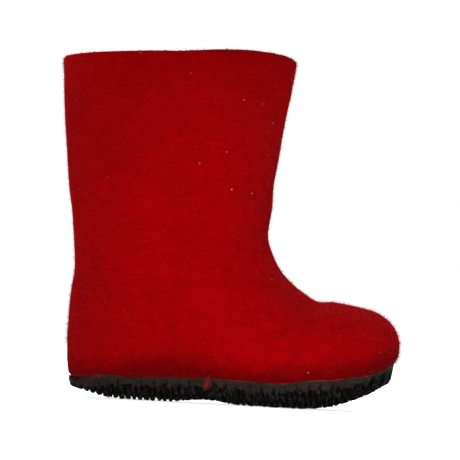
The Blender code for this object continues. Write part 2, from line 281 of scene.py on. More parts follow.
@dataclass(frozen=True)
class FeltFinish:
    """Wet-felted wool: mottled colour, soiling and painted shade near the sole, a matted fibre surface and a
    faint sheen.
    """

    name: str
    deep: Colour
    bright: Colour
    worn: Colour
    sheen: float
    sheen_tint: Colour
    sheen_roughness: float = 0.5
    matting: float = 0.0012
    blotch: Grain = Grain(0.030)
    mottle: Grain = Grain(0.0065, 3.0, 0.4)
    strand: Grain = Grain(0.0024, 3.0, 0.8, (0.45, 0.45, 2.4))
    crossed: Grain = Grain(0.0013, 2.0, 2.2, (1.0, 1.0, 1.5), (0.4, 0.9, 0.5))
    grain: Grain = Grain(0.0006)
    tone: Mix = Mix(0.0, (0.30, 0.45, 0.60, 0.15, -0.20))
    tones: tuple[float, float] = (0.36, 0.94)
    height: Mix = Mix(0.0, (0.45, 0.35, 0.2, 0.5))
    roughness: Mix = Mix(0.82, (0.14,))
    soil_and_shade: SoleSoilAndShade = SoleSoilAndShade()

    def make(self) -> bpy.types.Material:
        """Builds the material.

        Returns:
            The felt's material.
        """
        nodes = FinishNodes(self.name)
        place = nodes.place()
        blotch, mottle = nodes.noise(place, self.blotch), nodes.noise(place, self.mottle)
        strand, crossed = nodes.noise(place, self.strand), nodes.noise(place, self.crossed)
        grain = nodes.noise(place, self.grain)
        tone = self.tone.of(blotch, mottle, strand, grain, crossed)
        colour = nodes.blend(nodes.between(tone, *self.tones), self.deep, self.bright)
        # Soiling and painted shade darken the felt to its worn colour towards the sole's joint.
        colour = nodes.blend(self.soil_and_shade.share(nodes, place, mottle), colour, self.worn)
        height = self.height.of(strand, crossed, grain, mottle)
        return nodes.shade(
            {
                "Base Color": colour,
                "Roughness": self.roughness.of(strand),
                "Specular IOR Level": 0.0,
                "Sheen Weight": self.sheen,
                "Sheen Roughness": self.sheen_roughness,
                "Sheen Tint": self.sheen_tint,
                "Normal": nodes.bump(height, self.matting),
            }
        )


@dataclass(frozen=True)
class RubberFinish:
    """Moulded sole rubber: dull and dusty on its rim, with painted shade that makes the lugs darker and their
    gaps black.
    """

    name: str
    rim: Colour
    dust: Colour
    # The lug and gap colours are painted shade: dark grey on the lugs under the rim's band, black deep in the
    # tread.
    lug_shaded: Colour
    gap: Colour
    depth: str = "tread_depth"
    cloud: Grain = Grain(0.012, 3.0, 0.5)
    speck: Grain = Grain(0.0011, 3.0)
    scuff: Grain = Grain(0.0024, 3.0, 0.8, (0.35, 1.0, 2.0))
    fray: Grain = Grain(0.0034)
    fray_most: float = 1.2
    grime_and_shade: Grain = Grain(0.0026, 3.0, 0.6)
    grime_and_shade_most: float = 0.94
    dusting: Mix = Mix(0.0, (0.5, 0.5))
    dusty: tuple[float, float] = (0.40, 0.70)
    rim_edge: tuple[float, float] = (0.0, 0.08)
    lug_shade_edge: tuple[float, float] = (0.08, 0.18)
    grime_and_shade_span: tuple[float, float] = (0.37, 0.52)
    gap_shade_edge: tuple[float, float] = (0.5, 1.0)
    roughness: Mix = Mix(0.52, (0.22, 0.10))
    gloss: float = 0.03
    height: Mix = Mix(0.0, (0.6, 0.4))
    pitting: float = 0.00016

    def make(self) -> bpy.types.Material:
        """Builds the material, which reads the tread's painted shade, by how deep a face lies and whether it
        turns away, from the mesh's own attribute.

        Returns:
            The rubber's material.
        """
        nodes = FinishNodes(self.name)
        place = nodes.place()
        cloud, speck = nodes.noise(place, self.cloud), nodes.noise(place, self.speck)
        scuff = nodes.noise(place, self.scuff)
        depth = nodes.node("ShaderNodeAttribute", {"attribute_name": self.depth}, output="Fac")
        dust = nodes.between(self.dusting.of(cloud, scuff), *self.dusty)
        colour = nodes.blend(dust, self.rim, self.dust)
        # Painted shade: below a ragged line the lugs darken, blotches of grime and shade go black on them,
        # and deep or turned-away faces go black.
        fray = (nodes.noise(place, self.fray) - 0.5) * nodes.between(depth, *self.rim_edge)
        tread = nodes.between(depth + self.fray_most * fray, *self.lug_shade_edge)
        colour = nodes.blend(tread, colour, self.lug_shaded)
        grime_and_shade = nodes.noise(place, self.grime_and_shade)
        colour = nodes.blend(self.grime_and_shade_most * nodes.between(grime_and_shade, *self.grime_and_shade_span) * tread, colour, self.gap)
        colour = nodes.blend(nodes.between(depth, *self.gap_shade_edge), colour, self.gap)
        return nodes.shade(
            {
                "Base Color": colour,
                "Roughness": self.roughness.of(scuff, speck),
                "Specular IOR Level": self.gloss,
                "Normal": nodes.bump(self.height.of(speck, scuff), self.pitting),
            }
        )


@dataclass(frozen=True)
class CementFinish:
    """Dried shoe cement, tan and a little glossy, thinner and darker in places."""

    name: str
    thick: Colour
    thin: Colour
    streak: Grain = Grain(0.0055, 3.0, 0.6)
    streaks: tuple[float, float] = (0.38, 0.62)
    grain: Grain = Grain(0.0007)
    roughness: Mix = Mix(0.45, (0.25,))
    gloss: float = 0.05
    height: Mix = Mix(0.0, (0.7, 0.3))
    skin: float = 0.0002

    def make(self) -> bpy.types.Material:
        """Builds the material.

        Returns:
            The cement's material.
        """
        nodes = FinishNodes(self.name)
        place = nodes.place()
        streak, grain = nodes.noise(place, self.streak), nodes.noise(place, self.grain)
        colour = nodes.blend(nodes.between(streak, *self.streaks), self.thin, self.thick)
        return nodes.shade(
            {
                "Base Color": colour,
                "Roughness": self.roughness.of(grain),
                "Specular IOR Level": self.gloss,
                "Normal": nodes.bump(self.height.of(streak, grain), self.skin),
            }
        )


@dataclass(frozen=True)
class FibreFinish:
    """Loose wool fibre, from a darker to a paler strand."""

    name: str
    dark: Colour
    pale: Colour
    strand: Grain = Grain(0.0022, 1.0)
    strands: tuple[float, float] = (0.35, 0.65)
    roughness: Mix = Mix(0.8, (0.1,))
    gloss: float = 0.1

    def make(self) -> bpy.types.Material:
        """Builds the material.

        Returns:
            The fibre's material.
        """
        nodes = FinishNodes(self.name)
        strand = nodes.noise(nodes.place(), self.strand)
        colour = nodes.blend(nodes.between(strand, *self.strands), self.dark, self.pale)
        roughness = self.roughness.of(strand)
        return nodes.shade({"Base Color": colour, "Roughness": roughness, "Specular IOR Level": self.gloss})


@dataclass(frozen=True)
class FloorFinish:
    """Matt white studio acrylic, lit from below as on a light table."""

    name: str
    light: Colour
    shade: Colour
    glow: float
    cloud: Grain = Grain(0.6)

    def make(self) -> bpy.types.Material:
        """Builds the material.

        Returns:
            The floor's material.
        """
        nodes = FinishNodes(self.name)
        cloud = nodes.noise(nodes.place(), self.cloud)
        colour = nodes.blend(cloud, self.shade, self.light)
        return nodes.shade(
            {
                "Base Color": colour,
                "Roughness": 0.95,
                "Specular IOR Level": 0.0,
                "Emission Color": (1.0, 1.0, 1.0),
                "Emission Strength": self.glow,
            }
        )


RED_FELT = FeltFinish(
    name="red_wool_felt",
    deep=(0.182, 0.0002, 0.0005),
    bright=(0.276, 0.0003, 0.0011),
    # worn: the colour of soiling and painted shade at the sole's joint.
    worn=(0.072, 0.0003, 0.0005),
    sheen=0.07,
    sheen_tint=(1.0, 0.09, 0.12),
)
GREY_FELT = FeltFinish(
    name="grey_wool_felt",
    deep=(0.26, 0.235, 0.21),
    bright=(0.42, 0.39, 0.35),
    # worn: the colour of soiling and painted shade, as on the red felt.
    worn=(0.30, 0.27, 0.24),
    sheen=0.12,
    sheen_tint=(1.0, 0.95, 0.9),
)
BLACK_RUBBER = RubberFinish(
    name="moulded_rubber",
    rim=(0.0128, 0.0084, 0.0068),
    dust=(0.0205, 0.0140, 0.0114),
    # The lug and gap colours below are painted shade: dark grey and near black.
    lug_shaded=(0.0108, 0.0090, 0.0076),
    gap=(0.0006, 0.0005, 0.0004),
)
TAN_CEMENT = CementFinish(name="dried_cement", thick=(0.070, 0.028, 0.016), thin=(0.020, 0.010, 0.007))
# Paler than the felt: painted light that stands in for light through the thin fibres, brightening the nap
# along the silhouettes and the collar.
RED_FIBRE_PAINTED_LIGHT = FibreFinish(name="red_wool_fibre", dark=(0.32, 0.004, 0.007), pale=(0.48, 0.015, 0.019))
WISP_FIBRE = FibreFinish(name="dull_wool_fibre", dark=(0.130, 0.006, 0.007), pale=(0.250, 0.022, 0.022))
DARK_FIBRE = FibreFinish(name="dark_wool_fibre", dark=(0.020, 0.005, 0.005), pale=(0.070, 0.005, 0.006))
PALE_FIBRE = FibreFinish(name="pale_wool_fibre", dark=(0.36, 0.11, 0.09), pale=(0.54, 0.34, 0.28))
LIGHT_TABLE = FloorFinish(name="light_table", light=(0.90, 0.90, 0.90), shade=(0.88, 0.88, 0.88), glow=0.70)


class Curve:
    """A smooth curve through rows of numbers, read at a distance along them."""

    def __init__(self, places: Sequence[float], rows: Sequence[Sequence[float]]) -> None:
        """Sets the curve through the rows, one at each place."""
        self.places = np.array(places, float)
        self.rows = np.array(rows, float)
        self.slopes = np.gradient(self.rows, self.places, axis=0)

    def at(self, place: float) -> np.ndarray:
        """Reads the curve.

        Args:
            place: distance along the curve, held to its two ends.

        Returns:
            The row of numbers at that distance.
        """
        place = min(max(place, self.places[0]), self.places[-1])
        i = min(int(np.searchsorted(self.places, place, side="right")) - 1, len(self.places) - 2)
        step = self.places[i + 1] - self.places[i]
        u = (place - self.places[i]) / step
        start, end = self.rows[i], self.rows[i + 1]
        lift = u * u * (3 - 2 * u)
        leave = u * (1 - u) ** 2 * step
        arrive = u * u * (u - 1) * step
        return start + (end - start) * lift + self.slopes[i] * leave + self.slopes[i + 1] * arrive


class Section(NamedTuple):
    """One cut through the felt, from a front or top point to a back or bottom point.

    Places along and up are shares of the foot's length and the boot's height, width and inward are shares
    of the ball's width, widest is the share of the way from back to front, the rounds are superellipse
    powers, back_wall is in felt walls, and side_rise is a share of the boot's height.
    """

    front_x: float
    front_z: float
    back_x: float
    back_z: float
    width: float
    widest: float
    front_round: float
    back_round: float
    back_wall: float
    inward: float
    side_rise: float


SECTIONS = {
    "toe tip": Section(1.002, 0.273, 1.002, 0.122, 0.74, 0.36, 2.2, 3.0, 1.3, 0.050, 0.0),
    "toe": Section(0.884, 0.293, 0.884, 0.082, 0.87, 0.36, 2.1, 4.2, 1.4, 0.036, 0.0),
    "vamp": Section(0.790, 0.305, 0.785, 0.061, 0.96, 0.36, 2.0, 5.6, 1.4, 0.020, 0.0),
    "toe break": Section(0.749, 0.3045, 0.728, 0.056, 0.98, 0.36, 2.0, 6.1, 1.4, 0.013, 0.0),
    "ball": Section(0.704, 0.327, 0.670, 0.052, 1.00, 0.36, 2.0, 6.5, 1.4, 0.006, 0.0),
    "instep": Section(0.644, 0.372, 0.545, 0.050, 0.98, 0.39, 2.0, 6.2, 1.4, -0.004, 0.0),
    "waist": Section(0.614, 0.413, 0.400, 0.051, 0.94, 0.43, 2.0, 5.8, 1.5, -0.006, 0.0),
    "arch": Section(0.599, 0.452, 0.260, 0.048, 0.93, 0.46, 2.1, 5.4, 1.7, 0.0, 0.0),
    "heel seat": Section(0.593, 0.486, 0.130, 0.047, 0.93, 0.48, 2.2, 4.4, 1.8, 0.0, 0.0),
    "heel corner": Section(0.592, 0.514, 0.018, 0.059, 0.94, 0.50, 2.2, 2.75, 1.6, 0.0, 0.0),
    "heel": Section(0.593, 0.541, 0.002, 0.150, 0.95, 0.50, 2.2, 2.3, 1.2, 0.0, 0.0),
    "heel top": Section(0.596, 0.575, 0.000, 0.250, 0.96, 0.50, 2.2, 2.2, 1.0, 0.0, 0.0),
    "ankle": Section(0.599, 0.614, 0.009, 0.368, 0.97, 0.50, 2.2, 2.2, 1.0, 0.0, 0.0),
    "low shaft": Section(0.603, 0.668, -0.003, 0.492, 1.00, 0.50, 2.3, 2.2, 1.0, 0.0, 0.0),
    "mid shaft": Section(0.612, 0.737, -0.022, 0.610, 1.04, 0.50, 2.3, 2.3, 1.0, 0.0, 0.0014),
    "high shaft": Section(0.624, 0.816, -0.038, 0.733, 1.08, 0.50, 2.3, 2.3, 1.0, 0.0, 0.0056),
    "under collar": Section(0.637, 0.893, -0.050, 0.853, 1.12, 0.50, 2.3, 2.3, 1.0, 0.0, 0.012),
    "collar": Section(0.647, 0.964, -0.057, 0.941, 1.15, 0.50, 2.3, 2.3, 1.0, 0.0, 0.018),
}


@dataclass
class BootLast:
    """The form that the felt is shaped on, with the back of its heel at heel_x."""

    foot_length: float = 0.190
    boot_height: float = 0.2035
    ball_width: float = 0.083
    wall: float = 0.0055
    heel_x: float = -0.089775
    toe_dome: float = 2.5
    crown_round: float = 1.5
    crown_lean: float = 1.2
    ring_samples: int = 900

    def __post_init__(self) -> None:
        """Sizes the sections and lays one curve along them from toe tip to collar."""
        rows = [self.sized(section) for section in SECTIONS.values()]
        steps = [0.0]
        for before, after in zip(rows, rows[1:]):
            front = math.hypot(after.front_x - before.front_x, after.front_z - before.front_z)
            back = math.hypot(after.back_x - before.back_x, after.back_z - before.back_z)
            steps.append(max(front, back))
        self.curve = Curve(np.cumsum(steps), rows)
        self.toe_place = self.curve.places[list(SECTIONS).index("toe")]
        self.collar_place = self.curve.places[-1]

    def sized(self, section: Section) -> Section:
        """A section with its shares turned into metres."""
        return section._replace(
            front_x=section.front_x * self.foot_length,
            front_z=section.front_z * self.boot_height,
            back_x=section.back_x * self.foot_length,
            back_z=section.back_z * self.boot_height,
            width=section.width * self.ball_width,
            back_wall=section.back_wall * self.wall,
            inward=section.inward * self.ball_width,
            side_rise=section.side_rise * self.boot_height,
        )

    def place_of(self, along: float, across: float, up: float) -> Vector:
        """A point from shares of the foot's length, half the ball's width and the boot's height."""
        half_width = self.ball_width / 2
        return Vector((self.heel_x + along * self.foot_length, across * half_width, up * self.boot_height))

    def half_ring(self, section: Section, reach: tuple[float, float, float], count: int) -> np.ndarray:
        """Evenly spaced points from a section's front point round one side to its back point.

        Args:
            section: the section, for its rounds.
            reach: how far it goes to the front, to the back and to the side.
            count: number of steps along the half ring.

        Returns:
            Rows of (along, across).
        """
        front, back, side = reach
        angles = np.linspace(0, math.pi, self.ring_samples)
        cos, sin = np.cos(angles), np.sin(angles)
        power = np.where(cos >= 0, section.front_round, section.back_round)
        along = np.where(cos >= 0, front, back) * np.sign(cos) * np.abs(cos) ** (2 / power)
        across = side * np.abs(sin) ** (2 / power)
        length = np.concatenate([[0], np.cumsum(np.hypot(np.diff(along), np.diff(across)))])
        even = np.linspace(0, length[-1], count + 1)
        return np.stack([np.interp(even, length, along), np.interp(even, length, across)], axis=1)

    def ring(
        self, place: float, count: int, inset: float = 0.0, lift: float = 0.0, dome: float = 1.0
    ) -> tuple[np.ndarray, np.ndarray]:
        """The closed loop where the felt is cut at one place.

        Args:
            place: distance along the felt's curve.
            count: number of points round the loop.
            inset: how far the loop lies inside the felt's outer skin.
            lift: how far it is raised along the felt.
            dome: share of its full size, for the rings that close the toe.

        Returns:
            The loop's points and the point in its middle.
        """
        section = Section(*self.curve.at(place))
        front = np.array((self.heel_x + section.front_x, section.inward, section.front_z))
        back = np.array((self.heel_x + section.back_x, section.inward, section.back_z))
        length = np.linalg.norm(front - back)
        axis = (front - back) / length
        normal = np.array((-axis[2], 0.0, axis[0]))
        middle = back + axis * length * section.widest
        side = section.width / 2 - inset
        reach = (
            length * (1 - section.widest) - inset,
            length * section.widest - inset * section.back_wall / self.wall,
            side,
        )
        half = self.half_ring(section, reach, count // 2)
        loop = np.concatenate([half, half[-2:0:-1] * (1, -1)])
        forward = np.maximum(loop[:, :1], 0.0) / reach[0]
        crown = (np.abs(loop[:, 1:]) / side) ** self.crown_round * (1 + self.crown_lean * forward)
        rise = lift + section.side_rise * crown
        points = middle + (axis * loop[:, :1] + np.array((0, 1, 0)) * loop[:, 1:]) * dome + normal * rise
        return points, middle

    def skin(self, inset: float, count: int, rings: int, domes: int) -> tuple[list[np.ndarray], np.ndarray]:
        """The rings of one skin of the felt from toe to collar.

        Args:
            inset: how far the skin lies inside the felt's outer skin.
            count: number of points round each ring.
            rings: number of rings from toe to collar.
            domes: number of smaller rings that close the toe.

        Returns:
            The rings, and the pole that closes the toe.
        """
        made = []
        for step in range(1, domes):
            scale = math.sin(math.pi / 2 * step / domes)
            reach = (self.toe_place - inset) * (1 - scale**self.toe_dome) ** (1 / self.toe_dome)
            made.append(self.ring(self.toe_place - reach, count, inset, dome=scale)[0])
        for place in np.linspace(self.toe_place, self.collar_place, rings):
            made.append(self.ring(place, count, inset)[0])
        return made, self.ring(inset, count)[1]

    def rim(self, count: int, rings: int) -> list[np.ndarray]:
        """The rings of the collar's round edge, from the outer skin over to the inner one."""
        made = []
        for step in range(1, rings):
            turn = math.pi * step / rings
            inset = self.wall / 2 * (1 - math.cos(turn))
            made.append(self.ring(self.collar_place, count, inset, self.wall / 2 * math.sin(turn))[0])
        return made


def draw_out(
    bm: bmesh.types.BMesh, edges: Sequence[bmesh.types.BMEdge], known: Mapping[bmesh.types.BMVert, Any]
) -> tuple[list[bmesh.types.BMEdge], dict[bmesh.types.BMVert, Any]]:
    """Extrudes an open edge loop.

    Args:
        bm: the bmesh that the loop is in.
        edges: the loop's edges.
        known: what is known of each of its vertices.

    Returns:
        The drawn-out edges, and what is known of each drawn-out vertex.
    """
    made = bmesh.ops.extrude_edge_only(bm, edges=edges)["geom"]
    drawn = {}
    for vert in made:
        if isinstance(vert, bmesh.types.BMVert):
            for link in vert.link_edges:
                if link.other_vert(vert) in known:
                    drawn[vert] = known[link.other_vert(vert)]
    return [part for part in made if isinstance(part, bmesh.types.BMEdge)], drawn


class Loft:
    """A shell that is drawn out ring by ring from a first loop."""

    def __init__(self, rings: Sequence[np.ndarray]) -> None:
        """Lays the first ring, closed by a face, and draws its edge out to the others."""
        self.bm = bmesh.new()
        loop = bmesh.ops.create_circle(self.bm, segments=len(rings[0]), cap_ends=True)["verts"]
        self.start = self.bm.faces[:][0]
        self.loops = [loop]
        self.set_ring(loop, rings[0])
        for ring in rings[1:]:
            self.draw(ring)

    @staticmethod
    def set_ring(loop: Sequence[bmesh.types.BMVert], points: np.ndarray) -> None:
        """Moves a loop's vertices to a ring's points."""
        for vert, point in zip(loop, points):
            vert.co = point

    def edges(self, loop: Sequence[bmesh.types.BMVert]) -> list[bmesh.types.BMEdge]:
        """The edges along a loop."""
        return [self.bm.edges.get((a, b)) for a, b in zip(loop, loop[1:] + loop[:1])]

    def draw(self, points: np.ndarray) -> None:
        """Draws the open end out to the next ring of points."""
        loop = self.loops[-1]
        numbers = {vert: number for number, vert in enumerate(loop)}
        _, drawn = draw_out(self.bm, self.edges(loop), numbers)
        self.loops.append(sorted(drawn, key=drawn.get))
        self.set_ring(self.loops[-1], points)

    def close(self, start_pole: np.ndarray, end_pole: np.ndarray) -> None:
        """Closes both ends to a point each and turns the faces outwards."""
        end = bmesh.ops.contextual_create(self.bm, geom=self.loops[-1])["faces"][0]
        for face, pole in ((self.start, start_pole), (end, end_pole)):
            bmesh.ops.poke(self.bm, faces=[face])["verts"][0].co = pole
        bmesh.ops.recalc_face_normals(self.bm, faces=self.bm.faces)

    def join_ends(self) -> None:
        """Takes the first face away and bridges the last ring to the first, as in a closed bead."""
        bmesh.ops.delete(self.bm, geom=[self.start], context="FACES_ONLY")
        bmesh.ops.bridge_loops(self.bm, edges=self.edges(self.loops[0]) + self.edges(self.loops[-1]))
        bmesh.ops.recalc_face_normals(self.bm, faces=self.bm.faces)


def add_piece(
    name: str,
    shape: Union[bmesh.types.BMesh, bpy.types.Mesh],
    material: bpy.types.Material,
    sharp: float = 180.0,
) -> bpy.types.Object:
    """Turns a shape into a piece that rides on the boot.

    Args:
        name: the piece's name.
        shape: its bmesh, which is freed, or its mesh.
        material: its finish.
        sharp: angle in degrees past which an edge is left sharp.

    Returns:
        The piece's object, at the origin.
    """
    if isinstance(shape, bmesh.types.BMesh):
        mesh = bpy.data.meshes.new(name)
        shape.to_mesh(mesh)
        shape.free()
    else:
        mesh = shape
    mesh.materials.append(material)
    mesh.shade_smooth()
    if sharp < 180.0:
        mesh.set_sharp_from_angle(angle=math.radians(sharp))
    piece = bpy.data.objects.new(name, mesh)
    bpy.context.scene.collection.objects.link(piece)
    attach(piece, BODY)
    log.info("%s: %d faces", name, len(mesh.polygons))
    return piece


@dataclass(frozen=True)
class Crease:
    """A soft trough or ridge in the felt, along points in shares of the boot's own sizes."""

    name: str
    points: tuple[Place, ...]
    width: float
    depth: float
    steps: int = 36
    faded: tuple[float, float] = (0.06, 0.94)

    def line(self, last: BootLast, tree: BVHTree) -> np.ndarray:
        """The crease's line, laid on the felt.

        Args:
            last: the last, for its sizes.
            tree: the felt's surface.

        Returns:
            Points along the line.
        """
        curve = Curve(np.arange(len(self.points)), [last.place_of(*point) for point in self.points])
        laid = [curve.at(place) for place in np.linspace(0, len(self.points) - 1, self.steps)]
        return np.array([tree.find_nearest(Vector(point))[0] for point in laid])

    def amount(self, places: np.ndarray, last: BootLast, tree: BVHTree) -> np.ndarray:
        """How far the crease moves each place along its normal, fading out at the line's two ends."""
        line = self.line(last, tree)
        fade = np.sin(np.linspace(*self.faded, self.steps) * math.pi)
        most = np.zeros(len(places))
        for point, share in zip(line, fade):
            away = ((places - point) ** 2).sum(axis=1)
            most = np.maximum(most, share * np.exp(-away / self.width**2))
        return self.depth * most


def mirrored(*points: Place) -> tuple[Place, ...]:
    """Points from the outer side to the middle line, and on through their mirror images to the inner side."""
    return points + tuple((along, -across, up) for along, across, up in points[-2::-1])


CREASES = (
    Crease(
        "instep fold", mirrored((0.40, -0.98, 0.40), (0.53, -0.66, 0.45), (0.60, 0.0, 0.475)), 0.0085, -0.0010
    ),
    Crease(
        "instep swell", mirrored((0.42, -0.98, 0.51), (0.54, -0.62, 0.535), (0.60, 0.0, 0.55)), 0.0090, 0.0005
    ),
    Crease(
        "shin fold", mirrored((0.44, -0.98, 0.60), (0.55, -0.6, 0.615), (0.605, 0.0, 0.625)), 0.0080, -0.0005
    ),
    Crease(
        "heel cord hollow",
        mirrored((0.16, -0.85, 0.37), (0.04, -0.45, 0.365), (0.01, 0.0, 0.365)),
        0.0100,
        -0.0006,
    ),
    Crease(
        "outer ankle hollow", ((0.16, -1.0, 0.30), (0.30, -1.0, 0.36), (0.42, -1.0, 0.37)), 0.0150, -0.0006
    ),
    Crease("inner ankle hollow", ((0.14, 1.0, 0.32), (0.30, 1.0, 0.35), (0.44, 1.0, 0.35)), 0.0150, -0.0007),
    Crease(
        "toe break", mirrored((0.69, -0.90, 0.17), (0.73, -0.50, 0.285), (0.745, 0.0, 0.315)), 0.0085, -0.0004
    ),
    Crease(
        "heel seat swell",
        mirrored((0.30, -0.95, 0.11), (0.10, -0.80, 0.12), (0.01, 0.0, 0.15)),
        0.0090,
        0.0003,
    ),
)


@dataclass
class FeltUpper:
    """The felted upper: one hollow wall with a round collar, felted shut under the foot."""

    last: BootLast
    finish: FeltFinish
    around: int = 172
    outer_rings: int = 214
    inner_rings: int = 84
    outer_domes: int = 24
    inner_domes: int = 14
    rim_rings: int = 10
    napped_inside: int = 8
    lump: float = 0.00055
    lump_size: float = 0.030
    ripple: float = 0.00016
    ripple_size: float = 0.0075
    inner_share: float = 0.45
    creases: tuple[Crease, ...] = CREASES

    def build(self) -> bpy.types.Object:
        """Lofts the felt, presses its creases in and dresses it.

        Returns:
            The felt's object.
        """
        outer, outer_pole = self.last.skin(0.0, self.around, self.outer_rings, self.outer_domes)
        inner, inner_pole = self.last.skin(self.last.wall, self.around, self.inner_rings, self.inner_domes)
        rings = outer + self.last.rim(self.around, self.rim_rings) + inner[::-1]
        loft = Loft(rings)
        loft.close(outer_pole, inner_pole)
        self.press(loft, len(outer))
        self.outside = len(outer) + self.rim_rings // 2
        self.tree = BVHTree.FromBMesh(loft.bm)
        self.collect(loft)
        piece = add_piece("felt_boot_upper", loft.bm, self.finish.make())
        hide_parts("felt_upper")
        return piece

    def press(self, loft: Loft, outer: int) -> None:
        """Moves the felt along its normals by its creases and by the lumps that hand felting leaves.

        Args:
            loft: the felt's shell.
            outer: how many of its loops are the outer skin.
        """
        loft.bm.normal_update()
        tree = BVHTree.FromBMesh(loft.bm)
        verts = [vert for loop in loft.loops for vert in loop]
        share = np.repeat(
            [1.0 if number < outer else self.inner_share for number in range(len(loft.loops))], self.around
        )
        places = np.array([vert.co for vert in verts])
        normals = np.array([vert.normal for vert in verts])
        moved = np.zeros(len(verts))
        for crease in self.creases:
            moved += crease.amount(places, self.last, tree)
        for size, depth in ((self.lump_size, self.lump), (self.ripple_size, self.ripple)):
            moved += depth * np.array([noise.noise(vert.co / size) for vert in verts])
        for vert, point in zip(verts, places + normals * (moved * share)[:, None]):
            vert.co = point

    def collect(self, loft: Loft) -> None:
        """Keeps the outside's places, normals and areas, in the order of its loops, for the nap."""
        loft.bm.normal_update()
        self.top_edge = [(vert.co.copy(), vert.normal.copy()) for vert in loft.loops[self.outside - 1]]
        verts = [vert for loop in loft.loops[: self.outside + self.napped_inside] for vert in loop]
        order = {vert: number for number, vert in enumerate(verts)}
        faces = [face for face in loft.bm.faces if all(vert in order for vert in face.verts)]
        faces.sort(key=lambda face: sorted(order[vert] for vert in face.verts))
        self.centres = np.array([face.calc_center_median() for face in faces])
        self.normals = np.array([face.normal for face in faces])
        self.areas = np.array([face.calc_area() for face in faces])
        self.spreads = np.sqrt(self.areas)


class SoleStation(NamedTuple):
    """Flanks of the outsole at one share of its length. Outer and inner are shares of its width."""

    along: float
    outer: float
    inner: float


SOLE_STATIONS = {
    "heel end": SoleStation(0.00, 0.36, 0.36),
    "heel": SoleStation(0.14, 0.375, 0.375),
    "heel front": SoleStation(0.28, 0.425, 0.415),
    "waist": SoleStation(0.42, 0.445, 0.405),
    "ball": SoleStation(0.68, 0.486, 0.490),
    "toes": SoleStation(0.82, 0.453, 0.495),
    "toe end": SoleStation(1.00, 0.43, 0.48),
}


class RimBand(NamedTuple):
    """Height of the smooth band that the notches between the lugs leave under the felt's edge."""

    along: float
    height: float


RIM_BANDS = {
    "heel end": RimBand(0.00, 0.0060),
    "heel": RimBand(0.15, 0.0026),
    "waist": RimBand(0.39, 0.0015),
    "arch front": RimBand(0.53, 0.0016),
    "ball": RimBand(0.66, 0.0018),
    "toe end": RimBand(1.00, 0.0014),
}


